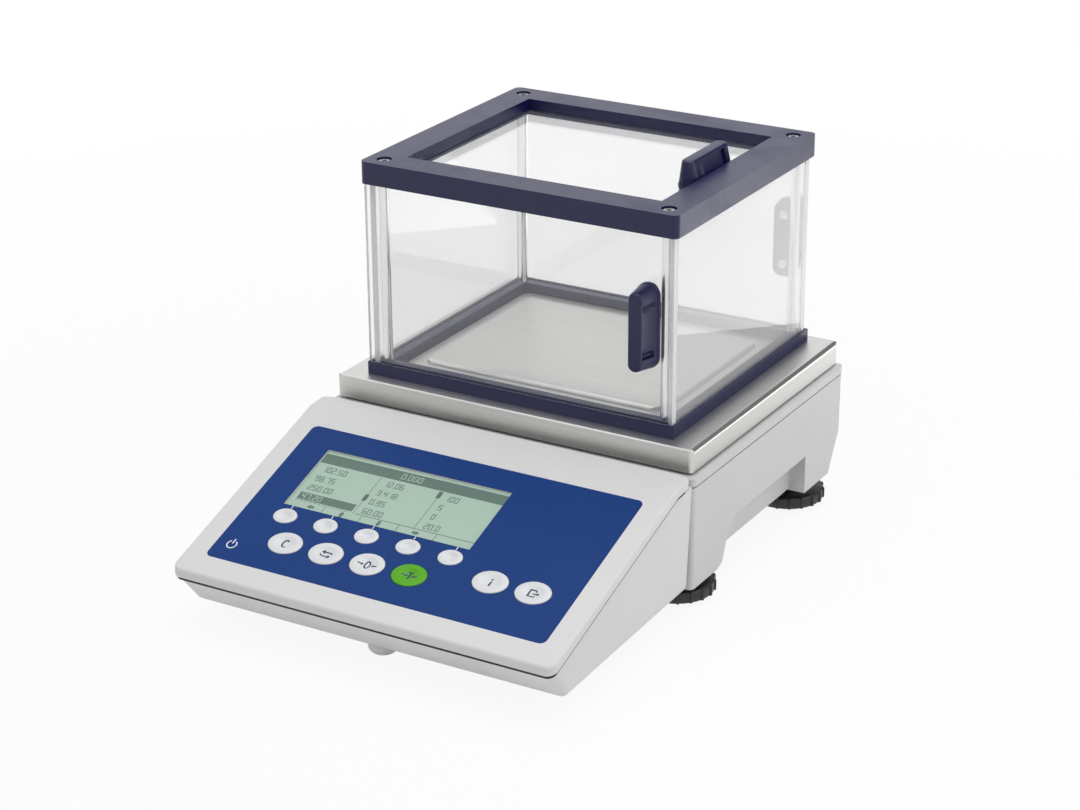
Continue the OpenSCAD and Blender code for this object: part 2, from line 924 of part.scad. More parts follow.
module load_plate() {
    color(steel)
        on_platform(skirt_z)
            difference() {
                soft_block(plate_w, plate_d, plate_skirt, plate_corner_r, plate_edge_r);
                translate([0, 0, -1])
                    block(plate_w - 2 * plate_t, plate_d - 2 * plate_t, plate_skirt - plate_t + 1,
                        plate_corner_r - plate_t / 2);
                cylinder(r = column_hole_r, h = 2 * plate_skirt);
                at_corners(rod_x, rod_y)
                    cylinder(r = screw_r + screw_fit, h = 2 * plate_skirt);
                at_corners(post_x, post_y)
                    translate([0, 0, plate_skirt - plate_t])
                        countersink(eps);
            }
}

// Cone of a countersunk head as thick as the plate, wider by an allowance
module countersink(extra) {
    translate([0, 0, -extra])
        cylinder(r1 = screw_r + extra, r2 = head_r + extra, h = plate_t + extra);
    cylinder(r = screw_r + extra, h = plate_t / 2);
    translate([0, 0, plate_t])
        cylinder(r = head_r + extra, h = extra);
}

module plate_screws() {
    color(steel)
        on_platform(plate_z - plate_t)
            at_corners(post_x, post_y)
                difference() {
                    union() {
                        cylinder(r1 = screw_r, r2 = head_r, h = plate_t);
                        translate([0, 0, -screw_l])
                            cylinder(r = screw_r, h = screw_l + eps);
                    }
                    translate([0, 0, plate_t / 2])
                        cylinder(r = head_r / 3, h = plate_t, $fn = 6);
                }
}

module plate_posts() {
    post_l = plate_z - plate_t - floor_z;
    color(steel)
        on_platform(floor_z)
            at_corners(post_x, post_y)
                difference() {
                    cylinder(r = post_r, h = post_l);
                    translate([0, 0, post_l - screw_l - 1])
                        cylinder(r = screw_r + screw_fit, h = screw_l + 2);
                }
}

module weighing_pan() {
    color(steel)
        on_platform(plate_z + pan_lift)
            difference() {
                union() {
                    block(brim_w, brim_d, pan_t, pan_corner_r);
                    soft_block(plateau_w, plateau_d, pan_rise, pan_corner_r, pan_edge_r);
                }
                translate([0, 0, -1])
                    block(plateau_w - 2 * pan_t, plateau_d - 2 * pan_t, pan_rise - pan_t + 1,
                        pan_corner_r - pan_t);
            }
}

module pan_support() {
    column_l = plate_z + support_top - cell_top;
    color([0.6, 0.62, 0.64])
        on_platform(cell_top) {
            cylinder(r = column_r, h = column_l);
            cylinder(r = column_flange_r, h = column_flange_h);
            translate([0, 0, column_l - support_t])
                block(support_w, support_d, support_t, pan_corner_r);
        }
}

module load_hanger() {
    slot_h = leaf_t + 2 * hanger_gap;
    color([0.75, 0.76, 0.78])
        on_platform()
            difference() {
                translate([0, 0, hanger_low])
                    box(hanger_w, hanger_l, cell_top - hanger_low);
                for (z = [leaf_low_z, leaf_high_z])
                    translate([0, hanger_l / 2, z])
                        box(hanger_w + 2, 2 * (leaf_in + hanger_gap), slot_h);
            }
}

module cell_block() {
    color([0.78, 0.79, 0.8])
        on_platform()
            difference() {
                union() {
                    translate([-cell_w / 2, slab_front, belly_floor])
                        cube([cell_w, slab_back - slab_front, cell_slab_t]);
                    translate([-cell_w / 2, tower_front, belly_floor])
                        cube([cell_w, tower_l, cell_h]);
                    for (z = [leaf_low_z, leaf_high_z])
                        translate([-leaf_w / 2, hanger_l / 2 - leaf_in, z + hanger_gap])
                            cube([leaf_w, leaf_l + leaf_in + 1, leaf_t]);
                }
                cell_bolts()
                    cylinder(r = screw_r + screw_fit, h = screw_l + 1);
            }
}

// Places of the four screws under the cell block
module cell_bolts() {
    for (sx = [-1, 1], y = [slab_front + 5, slab_back - 8])
        translate([sx * (cell_w / 2 - 6), y, belly_z])
            children();
}

// Base

module base_cover() {
    color(pale_grey)
        on_platform(cover_low)
            difference() {
                soft_block(base_w, base_d, cover_band, base_corner_r, cover_edge_r);
                translate([0, 0, -1])
                    block(base_w - 2 * wall, base_d - 2 * wall, cover_band - cover_t + 1, base_corner_r - wall / 2);
                cylinder(r = column_hole_r, h = 2 * cover_band);
                at_corners(post_x, post_y)
                    cylinder(r = post_r + post_play, h = 2 * cover_band);
                cover_bolts()
                    cylinder(r = screw_r + screw_fit, h = 2 * cover_band);
            }
}

module cover_bolts() {
    for (sx = [-1, 1], y = [cover_screw_front, cover_screw_back])
        translate([sx * cover_screw_x, y, 0])
            children();
}

// Outline of a front leg in Y and Z
module front_leg_outline() {
    front = -house_d / 2;
    heel = front + front_leg_l;
    polygon([
        [front, front_leg_z], [heel, front_leg_z], [heel + heel_l, front_leg_z + heel_h],
        [front + knee_l, front_leg_z + knee_h], [front + ramp_l, arch_z],
        [front + ramp_l, floor_z], [front, floor_z]
    ]);
}

module rear_leg_outline() {
    back = house_d / 2;
    polygon([
        [back - rear_leg_in, leg_z], [back, leg_z], [back, floor_z], [back - rear_leg_in, floor_z]
    ]);
}

// Thin walls between the legs on both sides
module housing_aprons() {
    front = -house_d / 2 + knee_l;
    back = house_d / 2 - rear_leg_in;
    for (s = [-1, 1])
        translate([s * (house_w / 2 - apron_in - wall / 2), (front + back) / 2, apron_z])
            box(wall, back - front + 2, floor_z - apron_z);
}

module housing_solid() {
    intersection() {
        block(house_w, house_d, housing_top, house_r);
        union() {
            translate([0, 0, arch_z])
                box(house_w, house_d, housing_top - arch_z);
            translate([-belly_w / 2, belly_front, belly_z])
                cube([belly_w, belly_back - belly_front, arch_z]);
            for (s = [-1, 1])
                translate([s * (house_w - leg_w) / 2, 0, 0]) {
                    along_x(leg_w)
                        front_leg_outline();
                    along_x(leg_w)
                        rear_leg_outline();
                }
            housing_aprons();
        }
    }
    translate([0, 0, housing_top - 1])
        block(rim_w, rim_d, rim_top - housing_top + 1, base_corner_r - wall / 2);
}

module housing_hollow() {
    translate([0, 0, floor_z])
        block(base_w - 2 * wall - 2 * rim_wall, base_d - 2 * wall - 2 * rim_wall, rim_top, 2);
    translate([-belly_w / 2 + wall, belly_front + wall, belly_floor])
        cube([belly_w - 2 * wall, belly_back - belly_front - 2 * wall, rim_top]);
}

module base_housing() {
    back = house_d / 2;
    port_edge = port_wall + port_play;
    color(pale_grey)
        on_platform()
            difference() {
                union() {
                    difference() {
                        housing_solid();
                        housing_hollow();
                        along_x(2 * house_w)
                            polygon([[back - slant_l, leg_z - 1], [back + 1, leg_z - 1],
                                [back + 1, leg_z + slant_h], [back, leg_z + slant_h], [back - slant_l, leg_z]]);
                    }
                    intersection() {
                        cover_bolts()
                            cylinder(r = boss_r, h = rim_top);
                        translate([0, 0, floor_z - eps])
                            box(base_w, base_d - 2 * wall - 2, rim_top - floor_z + eps);
                    }
                    for (sx = [-1, 1])
                        translate([sx * cover_screw_x, cover_screw_front, belly_floor - eps])
                            cylinder(r = boss_r, h = rim_top - belly_floor);
                    power_board_corners(belly_floor - eps)
                        cylinder(r = standoff_r, h = standoff_h + eps);
                }
                for (sx = [-1, 1], y = [foot_front, foot_rear])
                    translate([sx * foot_x, y, 0])
                        cylinder(r = stud_r + stud_fit, h = rim_top);
                cover_bolts()
                    translate([0, 0, rim_top - screw_l])
                        cylinder(r = screw_r + screw_fit, h = screw_l + 1);
                cell_bolts()
                    translate([0, 0, -1])
                        cylinder(r = screw_r + screw_fit, h = wall + 2);
                bracket_bores();
                translate([inlet_x, belly_back, connector_z])
                    rotate([90, 0, 0])
                        cylinder(r = inlet_r + inlet_wall + port_play, h = 3 * wall, center = true);
                translate([port_x, belly_back, connector_z - port_h / 2 - port_edge])
                    box(port_w + 2 * port_edge, 3 * wall, port_h + 2 * port_edge);
            }
}

// Screw and cable holes in the housing's front wall
module bracket_bores() {
    translate([0, -house_d / 2, bracket_z])
        rotate([90, 0, 0]) {
            cylinder(r = cable_r + cable_play, h = 4 * wall, center = true);
            for (s = [-1, 1])
                translate([s * base_bolt_x, 0, 0])
                    cylinder(r = screw_r + screw_fit, h = 4 * wall, center = true);
        }
}

module power_board_corners(z) {
    for (sx = [-1, 1], sy = [-1, 1])
        translate([
            power_board_x + sx * (power_board_w / 2 - standoff_r),
            power_board_y + sy * (power_board_l / 2 - standoff_r),
            z
        ])
            children();
}

module power_board() {
    part_h = 18;
    color([0.1, 0.35, 0.2])
        on_platform(belly_floor + standoff_h)
            translate([power_board_x, power_board_y, 0]) {
                box(power_board_w, power_board_l, board_t);
                translate([-power_board_w / 6, 0, board_t - eps])
                    box(power_board_w / 2, power_board_l / 2, part_h);
                translate([power_board_w / 3, 0, board_t - eps])
                    cylinder(r = power_board_w / 9, h = part_h);
            }
}

module power_inlet() {
    color(black)
        on_platform(connector_z)
            translate([inlet_x, belly_back, 0])
                rotate([-90, 0, 0])
                    difference() {
                        union() {
                            cylinder(r = inlet_r + inlet_wall + inlet_flange, h = 1.5);
                            translate([0, 0, -inlet_l])
                                cylinder(r = inlet_r + inlet_wall, h = inlet_l + eps);
                        }
                        difference() {
                            translate([0, 0, -inlet_l + 2])
                                cylinder(r = inlet_r, h = 2 * inlet_l);
                            translate([0, 0, -inlet_l])
                                cylinder(r = inlet_r / 3, h = inlet_l);
                        }
                    }
}

module data_port() {
    body_w = port_w + 2 * port_wall;
    body_h = port_h + 2 * port_wall;
    color(black)
        on_platform(connector_z)
            translate([port_x, belly_back, 0])
                difference() {
                    union() {
                        translate([-body_w / 2, -port_l, -body_h / 2])
                            cube([body_w, port_l + eps, body_h]);
                        translate([-body_w / 2 - 1, 0, -body_h / 2 - 1])
                            cube([body_w + 2, 0.8, body_h + 2]);
                    }
                    translate([-port_w / 2, -port_l + 3, -port_h / 2])
                        cube([port_w, port_l, port_h]);
                }
}

module link_cable() {
    reach = 14;
    color([0.2, 0.2, 0.22])
        translate([0, bracket_back + reach, bracket_z])
            rotate([90, 0, 0])
                cylinder(r = cable_r, h = bracket_l + 2 * reach);
}

// Identical cap screws of the cell block, the base cover, the terminal and its bracket
module assembly_screws() {
    color(steel) {
        on_platform() {
            cell_bolts()
                cap_screw(screw_l);
            cover_bolts()
                translate([0, 0, cover_top])
                    mirror([0, 0, 1])
                        cap_screw(screw_l);
        }
        term_bolts()
            cap_screw(screw_l);
        for (s = [-1, 1]) {
            translate([s * base_bolt_x, plat_y - base_d / 2 + wall + rim_wall, bracket_z])
                rotate([90, 0, 0])
                    cap_screw(screw_l);
            translate([s * term_bolt_x, bracket_front - wall, bracket_z])
                rotate([-90, 0, 0])
                    cap_screw(screw_l);
        }
    }
}

// Levelling feet

// Knob with its stud; the origin is on the table under the foot
module knob() {
    color(black)
        translate([0, 0, pad_h])
            difference() {
                union() {
                    cylinder(r = knob_r, h = knob_h);
                    for (i = [0 : ribs - 1])
                        rotate([0, 0, i * 360 / ribs])
                            translate([knob_r - 1, -rib_w / 2, 0])
                                cube([rib_h + 1, rib_w, knob_h]);
                    cylinder(r = stud_r, h = knob_h + stud_l);
                }
                translate([0, 0, -1])
                    cylinder(r = pad_pin_r + stud_fit, h = pad_pin_l + 1 + pad_play);
            }
}

module pad() {
    color([0.15, 0.15, 0.15]) {
        cylinder(r = pad_r, h = pad_h - pad_play);
        cylinder(r = pad_pin_r, h = pad_h + pad_pin_l);
    }
}

module at_foot(side, y) {
    on_platform()
        translate([side * foot_x, y, 0])
            children();
}

module knob_front_left() {
    at_foot(-1, foot_front)
        knob();
}

module knob_front_right() {
    at_foot(1, foot_front)
        knob();
}

module knob_rear_left() {
    at_foot(-1, foot_rear)
        knob();
}

module knob_rear_right() {
    at_foot(1, foot_rear)
        knob();
}

module pad_front_left() {
    at_foot(-1, foot_front)
        pad();
}

module pad_front_right() {
    at_foot(1, foot_front)
        pad();
}

module pad_rear_left() {
    at_foot(-1, foot_rear)
        pad();
}

module pad_rear_right() {
    at_foot(1, foot_rear)
        pad();
}

// Terminal

// Upright prism with round corners in front and square ones behind
module front_round(w, d, h, r) {
    block(w, d, h, r);
    translate([0, d / 2 - r, 0])
        box(w, 2 * r, h);
}

// Upright prism over the terminal's plan, drawn in by an inset
module term_plan(inset) {
    translate([0, front_y + term_d / 2, -1])
        front_round(term_w - 2 * inset, term_d - 2 * inset, plan_h, max(term_corner_r - inset, 1));
}

// Layer of the terminal between two depths under its top, drawn in by an inset
module term_layer(upper, lower, inset) {
    intersection() {
        along_x(2 * term_w)
            polygon(concat(top_line(0, term_d, upper), backwards(top_line(0, term_d, lower))));
        term_plan(inset);
    }
}

// Places of the four screws that hold cover and shell together, at the seats of their heads
module term_bolts() {
    for (sx = [-1, 1], d = [term_screw_front, term_screw_back])
        translate([sx * term_screw_x, front_y + d, under_at(d) + seat_up])
            children();
}

// Oval block between two heights, from half its width
module oval(r, low, high) {
    translate([0, 0, low])
        linear_extrude(high - low)
            polygon([for (i = [1 : oval_steps]) r * [cos(i * oval_step), key_oval * sin(i * oval_step)]]);
}

module key_holes(extra) {
    for (k = keys)
        translate([k[0], k[1], 0])
            oval(k[2] / 2 + extra, -3 * wall, 3 * wall);
}

module terminal_cover() {
    color(pale_grey)
        difference() {
            union() {
                difference() {
                    term_layer(0, band_h, 0);
                    intersection() {
                        along_x(2 * term_w)
                            polygon(concat(top_line(0, term_d, skin), [[front_y + term_d, 0], [front_y, 0]]));
                        term_plan(wall);
                    }
                }
                cover_bosses();
                board_bosses();
            }
            on_panel(0, panel_l / 2, -panel_t)
                block(panel_w + 2 * eps, panel_l + 2 * eps, 2 * wall, panel_r);
            on_panel()
                key_holes(key_gap);
            on_panel(lcd_x, lcd_s + lcd_l / 2, -lens_t)
                box(lcd_w + 2 * eps, lcd_l + 2 * eps, 2 * wall);
            on_panel(lcd_x, lcd_s + lcd_l / 2, -2 * wall)
                box(lcd_w - 2 * lens_ledge, lcd_l - 2 * lens_ledge, 4 * wall);
            term_bolts()
                cylinder(r = screw_r + screw_fit, h = screw_l + 1);
        }
}

// Bosses from the cover down to the shell's seats
module cover_bosses() {
    for (sx = [-1, 1], d = [term_screw_front, term_screw_back]) {
        low = under_at(d) + seat_up + seat_t;
        translate([sx * term_screw_x, front_y + d, low])
            cylinder(r = term_boss_r, h = top_at(d - term_boss_r) - low - skin / 2);
    }
}

// Bosses from the cover down to the main board
module board_bosses() {
    for (sx = [-1, 1], s = [board_boss_in, panel_l - board_boss_in])
        on_panel(sx * (panel_w / 2 - board_boss_in), s, board_top)
            cylinder(r = board_boss_r, h = -board_top - wall / 2);
}

module terminal_gasket() {
    color(black)
        difference() {
            term_layer(band_h, shell_off, gasket_in);
            term_plan(gasket_in + wall);
        }
}

module terminal_shell() {
    color(pale_grey)
        difference() {
            union() {
                difference() {
                    intersection() {
                        along_x(2 * term_w)
                            polygon(concat(
                                top_line(shell_in, shell_back, shell_off),
                                [[front_y + shell_back, under_at(shell_back)], [front_y + chin_in, under_at(chin_in)]]
                            ));
                        shell_plan(shell_in);
                    }
                    intersection() {
                        along_x(2 * term_w)
                            polygon(concat(
                                top_line(shell_in + 1.3 * wall, shell_back, shell_off - 2 * gasket_t),
                                [
                                    [front_y + shell_back, under_at(shell_back) + wall],
                                    [front_y + chin_in + wall / 2, under_at(chin_in) + wall]
                                ]
                            ));
                        shell_plan(shell_in + wall);
                    }
                }
                term_bolts()
                    translate([0, 0, wall / 2 - seat_up])
                        cylinder(r = term_boss_r, h = seat_up + seat_t - wall / 2);
                terminal_stop();
            }
            term_bolts() {
                translate([0, 0, -1])
                    cylinder(r = screw_r + screw_fit, h = seat_t + 2);
                translate([0, 0, -2 * seat_up])
                    cylinder(r = head_r + head_play, h = 2 * seat_up);
            }
            translate([0, bracket_front, bracket_z])
                rotate([90, 0, 0]) {
                    cylinder(r = cable_r + cable_play, h = 4 * wall, center = true);
                    for (s = [-1, 1])
                        translate([s * term_bolt_x, 0, 0])
                            cylinder(r = screw_r + screw_fit, h = 4 * wall, center = true);
                }
        }
}

// Plan of the shell: drawn in at the front and sides, less so at the back
module shell_plan(inset) {
    back = term_d - inset + shell_in / 2;
    depth = back - inset;
    translate([0, front_y + inset + depth / 2, -1])
        front_round(term_w - 2 * inset, depth, plan_h, max(term_corner_r - inset, 1));
}

// Rounded stop under the shell's front
module terminal_stop() {
    top = under_at(stop_in) + wall / 2;
    round_r = 5;
    translate([0, front_y + stop_in, 0])
        rotate_extrude() {
            translate([0, stop_clear])
                square([stop_r - round_r, top - stop_clear]);
            translate([0, stop_clear + round_r])
                square([stop_r, top - stop_clear - round_r]);
            translate([stop_r - round_r, stop_clear + round_r])
                intersection() {
                    circle(round_r);
                    translate([0, -round_r])
                        square(round_r + eps);
                }
        }
}

module terminal_bracket() {
    color([0.7, 0.71, 0.72])
        translate([0, bracket_front, bracket_z])
            difference() {
                translate([-bracket_w / 2, 0, -bracket_h / 2])
                    cube([bracket_w, bracket_l, bracket_h]);
                rotate([90, 0, 0]) {
                    cylinder(r = cable_r + cable_play, h = 4 * bracket_l, center = true);
                    for (s = [-1, 1]) {
                        translate([s * term_bolt_x, 0, 0])
                            cylinder(r = screw_r + screw_fit, h = 2 * screw_l - 2, center = true);
                        translate([s * base_bolt_x, 0, -bracket_l])
                            cylinder(r = screw_r + screw_fit, h = 2 * screw_l - 2, center = true);
                    }
                }
            }
}

// Panel, display and keys

module keypad_panel() {
    color(royal)
        on_panel(0, 0, -panel_t)
            difference() {
                translate([0, panel_l / 2, 0])
                    block(panel_w, panel_l, panel_t, panel_r);
                key_holes(key_gap);
                translate([lcd_x, lcd_s + lcd_l / 2, -1])
                    box(lcd_w + 2 * eps, lcd_l + 2 * eps, 2);
            }
}

module display_window() {
    color([0.7, 0.8, 0.7, 0.5])
        on_panel(lcd_x, lcd_s + lcd_l / 2, -lens_t)
            box(lcd_w, lcd_l, lens_t);
}

module display_module() {
    color([0.6, 0.7, 0.6])
        on_panel(lcd_x, lcd_s - 0.5 + lcd_module_l / 2, -wall - lcd_module_t)
            box(lcd_module_w, lcd_module_l, lcd_module_t);
}

module main_board() {
    color([0.1, 0.35, 0.2])
        on_panel(0, panel_l / 2, -board_in)
            box(panel_w - 2 * board_edge, panel_l - 2 * board_edge, board_t);
}

module key_switches() {
    color(black)
        for (k = keys)
            on_panel(k[0], k[1], board_top)
                cylinder(r = switch_r, h = switch_top - board_top);
}

// Oval key with a ring round a lower face and a flange under the cover
module key(k, tint) {
    r = k[2] / 2;
    color(tint)
        on_panel(k[0], k[1])
            difference() {
                union() {
                    oval(r + key_flange, flange_low, flange_top);
                    oval(r, flange_low, key_rise);
                }
                oval(key_dish_share * r, key_rise - key_dish, key_rise + 1);
            }
}

module soft_key_1() {
    key(soft_keys[0], "white");
}

module soft_key_2() {
    key(soft_keys[1], "white");
}

module soft_key_3() {
    key(soft_keys[2], "white");
}

module soft_key_4() {
    key(soft_keys[3], "white");
}

module soft_key_5() {
    key(soft_keys[4], "white");
}

module clear_key() {
    key(large_keys[0], "white");
}

module switch_key() {
    key(large_keys[1], "white");
}

module zero_key() {
    key(large_keys[2], "white");
}

module tare_key() {
    key(large_keys[3], [0.4, 0.74, 0.12]);
}

module info_key() {
    key(menu_keys[0], "white");
}

module transfer_key() {
    key(menu_keys[1], "white");
}

shield_top_frame();
shield_bottom_frame();
shield_rods();
rod_screws();
left_pane();
right_pane();
front_pane();
front_handle();
front_backing();
front_handle_screws();
rear_pane();
rear_handle();
rear_backing();
rear_handle_screws();
top_pane();
top_handle();
top_backing();
top_handle_screws();
load_plate();
plate_posts();
plate_screws();
weighing_pan();
pan_support();
load_hanger();
cell_block();
base_cover();
base_housing();
power_inlet();
data_port();
power_board();
link_cable();
assembly_screws();
knob_front_left();
knob_front_right();
knob_rear_left();
knob_rear_right();
pad_front_left();
pad_front_right();
pad_rear_left();
pad_rear_right();
terminal_cover();
terminal_shell();
terminal_gasket();
terminal_bracket();
keypad_panel();
display_window();
display_module();
main_board();
key_switches();
soft_key_1();
soft_key_2();
soft_key_3();
soft_key_4();
soft_key_5();
clear_key();
switch_key();
zero_key();
tare_key();
info_key();
transfer_key();
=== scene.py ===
"""Looks of a compact precision balance with a glass draft shield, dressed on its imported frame."""

import json
import logging
import math
from dataclasses import dataclass, field
from enum import Enum
from typing import Callable, Iterable, Optional, Sequence

import bmesh
import bpy
from mathutils import Matrix, Vector

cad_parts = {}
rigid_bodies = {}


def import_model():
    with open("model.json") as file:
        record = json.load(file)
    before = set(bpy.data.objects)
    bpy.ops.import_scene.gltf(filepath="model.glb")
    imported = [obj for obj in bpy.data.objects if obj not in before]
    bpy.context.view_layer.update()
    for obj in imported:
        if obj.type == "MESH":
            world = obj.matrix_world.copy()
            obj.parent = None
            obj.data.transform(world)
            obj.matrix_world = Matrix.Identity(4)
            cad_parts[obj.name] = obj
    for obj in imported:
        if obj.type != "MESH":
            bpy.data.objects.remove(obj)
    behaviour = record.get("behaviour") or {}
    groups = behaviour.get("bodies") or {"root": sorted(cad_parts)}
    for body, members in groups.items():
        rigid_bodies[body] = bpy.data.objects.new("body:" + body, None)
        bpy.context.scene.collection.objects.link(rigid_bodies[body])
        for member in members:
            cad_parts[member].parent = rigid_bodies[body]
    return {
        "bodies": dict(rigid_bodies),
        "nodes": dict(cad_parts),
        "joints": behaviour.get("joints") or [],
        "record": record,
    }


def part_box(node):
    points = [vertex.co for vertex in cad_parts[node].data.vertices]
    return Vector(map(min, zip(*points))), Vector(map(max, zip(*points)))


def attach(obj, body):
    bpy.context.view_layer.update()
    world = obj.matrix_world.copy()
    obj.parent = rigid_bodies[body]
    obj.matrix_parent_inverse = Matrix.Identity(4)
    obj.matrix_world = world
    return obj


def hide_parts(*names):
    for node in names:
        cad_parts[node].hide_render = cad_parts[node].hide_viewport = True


LOG = logging.getLogger("balance")
MM = 0.001
Colour = tuple[float, float, float]
Point = tuple[float, float]
Plane = tuple[Vector, Vector]


def srgb(red: int, green: int, blue: int) -> Colour:
    """Turn a colour of 0 to 255 steps into linear light.

    Args:
        red: Red step.
        green: Green step.
        blue: Blue step.

    Returns:
        The three linear values.
    """

    def linear(step: int) -> float:
        """Linear value of one step."""
        share = step / 255
        return share / 12.92 if share <= 0.04045 else ((share + 0.055) / 1.055) ** 2.4

    return linear(red), linear(green), linear(blue)


def shade(colour: Colour, share: float) -> tuple[float, float, float, float]:
    """Colour made lighter or darker, with full opacity for a node's socket."""
    red, green, blue = (min(1.0, part * share) for part in colour)
    return red, green, blue, 1.0


class Board:
    """A node tree with short ways to add nodes and join them."""

    def __init__(self, tree: bpy.types.NodeTree) -> None:
        """Take hold of an empty tree.

        Args:
            tree: The tree to fill.
        """
        self.tree = tree

    def add(self, kind: str, **values: object) -> bpy.types.Node:
        """Add a node.

        Args:
            kind: Blender's name of the node type.
            **values: Properties of the node by name, or values of its inputs by name with _ for spaces.

        Returns:
            The new node.
        """
        node = self.tree.nodes.new(kind)
        for name, value in values.items():
            if hasattr(node, name):
                setattr(node, name, value)
            else:
                node.inputs[name.replace("_", " ")].default_value = value
        return node

    def join(self, source: bpy.types.NodeSocket, target: bpy.types.NodeSocket) -> None:
        """Join an output to an input."""
        self.tree.links.new(source, target)

    def spread(self, source: bpy.types.NodeSocket, low: float, high: float) -> bpy.types.NodeSocket:
        """Spread a value of 0 to 1 between two bounds.

        Args:
            source: Output that holds the value.
            low: Result at 0.
            high: Result at 1.

        Returns:
            Output that holds the result.
        """
        node = self.add("ShaderNodeMapRange", To_Min=low, To_Max=high)
        self.join(source, node.inputs["Value"])
        return node.outputs["Result"]

    def blend(
        self, source: bpy.types.NodeSocket, low: Sequence[float], high: Sequence[float]
    ) -> bpy.types.NodeSocket:
        """Blend two colours by a value of 0 to 1.

        Args:
            source: Output that holds the value.
            low: Colour at 0.
            high: Colour at 1.

        Returns:
            Output that holds the colour.
        """
        node = self.add("ShaderNodeMix", data_type="RGBA")
        node.inputs[6].default_value = low
        node.inputs[7].default_value = high
        self.join(source, node.inputs[0])
        return node.outputs[2]

    def greatest(self, sources: Sequence[bpy.types.NodeSocket]) -> bpy.types.NodeSocket:
        """Greatest of several values.

        Args:
            sources: Outputs that hold the values.

        Returns:
            Output that holds the greatest.
        """
        found = sources[0]
        for source in sources[1:]:
            node = self.add("ShaderNodeMath", operation="MAXIMUM")
            self.join(found, node.inputs[0])
            self.join(source, node.inputs[1])
            found = node.outputs[0]
        return found


class Effect(Enum):
    """Surface effects that several finishes share, each one node group."""

    GRAIN = "fine_grain"
    BRUSHED = "brushed_lines"
    FILM = "soft_film"

    def group(self) -> bpy.types.NodeTree:
        """Node group of this effect, built once.

        Returns:
            The group's tree.
        """
        found = bpy.data.node_groups.get(self.value)
        if found is None:
            found = bpy.data.node_groups.new(self.value, "ShaderNodeTree")
            {Effect.GRAIN: fill_grain, Effect.BRUSHED: fill_brushed, Effect.FILM: fill_film}[self](found)
        return found

    def place(self, board: Board, **values: object) -> bpy.types.Node:
        """Place the group in a material.

        Args:
            board: The material's tree.
            **values: Values of the group's inputs by name.

        Returns:
            The group node.
        """
        node = board.tree.nodes.new("ShaderNodeGroup")
        node.node_tree = self.group()
        for name, value in values.items():
            node.inputs[name].default_value = value
        return node


def open_group(tree: bpy.types.NodeTree, inputs: dict[str, str], outputs: Iterable[str]) -> Board:
    """Give a node group its sockets.

    Args:
        tree: The empty group.
        inputs: Socket type of each input by name.
        outputs: Names of the value outputs.

    Returns:
        The group's board.
    """
    for name, kind in inputs.items():
        tree.interface.new_socket(name=name, in_out="INPUT", socket_type=kind)
    for name in outputs:
        tree.interface.new_socket(name=name, in_out="OUTPUT", socket_type="NodeSocketFloat")
    return Board(tree)


def fill_grain(tree: bpy.types.NodeTree) -> None:
    """Fill the group of moulded or sprayed grain: a fine height and a slow mottle.

    Args:
        tree: The empty group.
    """
    board = open_group(tree, {"Scale": "NodeSocketFloat"}, ("Height", "Mottle"))
    start = board.add("NodeGroupInput")
    end = board.add("NodeGroupOutput")
    place = board.add("ShaderNodeTexCoord")
    fine = board.add("ShaderNodeTexNoise", Detail=3.0, Roughness=0.6)
    slow = board.add("ShaderNodeTexNoise", Scale=22.0, Detail=4.0, Roughness=0.55)
    board.join(place.outputs["Object"], fine.inputs["Vector"])
    board.join(place.outputs["Object"], slow.inputs["Vector"])
    board.join(start.outputs["Scale"], fine.inputs["Scale"])
    board.join(fine.outputs["Fac"], end.inputs["Height"])
    board.join(slow.outputs["Fac"], end.inputs["Mottle"])


def fill_brushed(tree: bpy.types.NodeTree) -> None:
    """Fill the group of brushed metal: fine lines and broader streaks along one direction.

    Args:
        tree: The empty group.
    """
    board = open_group(tree, {"Stretch": "NodeSocketVector"}, ("Lines", "Streaks"))
    start = board.add("NodeGroupInput")
    end = board.add("NodeGroupOutput")
    place = board.add("ShaderNodeTexCoord")
    pull = board.add("ShaderNodeVectorMath", operation="MULTIPLY")
    lines = board.add("ShaderNodeTexNoise", Scale=1.0, Detail=5.0, Roughness=0.75)
    streaks = board.add("ShaderNodeTexNoise", Scale=0.16, Detail=3.0, Roughness=0.6)
    board.join(place.outputs["Object"], pull.inputs[0])
    board.join(start.outputs["Stretch"], pull.inputs[1])
    board.join(pull.outputs["Vector"], lines.inputs["Vector"])
    board.join(pull.outputs["Vector"], streaks.inputs["Vector"])
    board.join(lines.outputs["Fac"], end.inputs["Lines"])
    board.join(streaks.outputs["Fac"], end.inputs["Streaks"])


def fill_film(tree: bpy.types.NodeTree) -> None:
    """Fill the group of a thin film of handling marks: soft patches with a fine break-up.

    Args:
        tree: The empty group.
    """
    board = open_group(tree, {"Scale": "NodeSocketFloat"}, ("Film",))
    start = board.add("NodeGroupInput")
    end = board.add("NodeGroupOutput")
    place = board.add("ShaderNodeTexCoord")
    patches = board.add("ShaderNodeTexNoise", Detail=6.0, Roughness=0.7)
    ramp = board.add("ShaderNodeMapRange", From_Min=0.42, From_Max=0.72, interpolation_type="SMOOTHSTEP")
    board.join(place.outputs["Object"], patches.inputs["Vector"])
    board.join(start.outputs["Scale"], patches.inputs["Scale"])
    board.join(patches.outputs["Fac"], ramp.inputs["Value"])
    board.join(ramp.outputs["Result"], end.inputs["Film"])


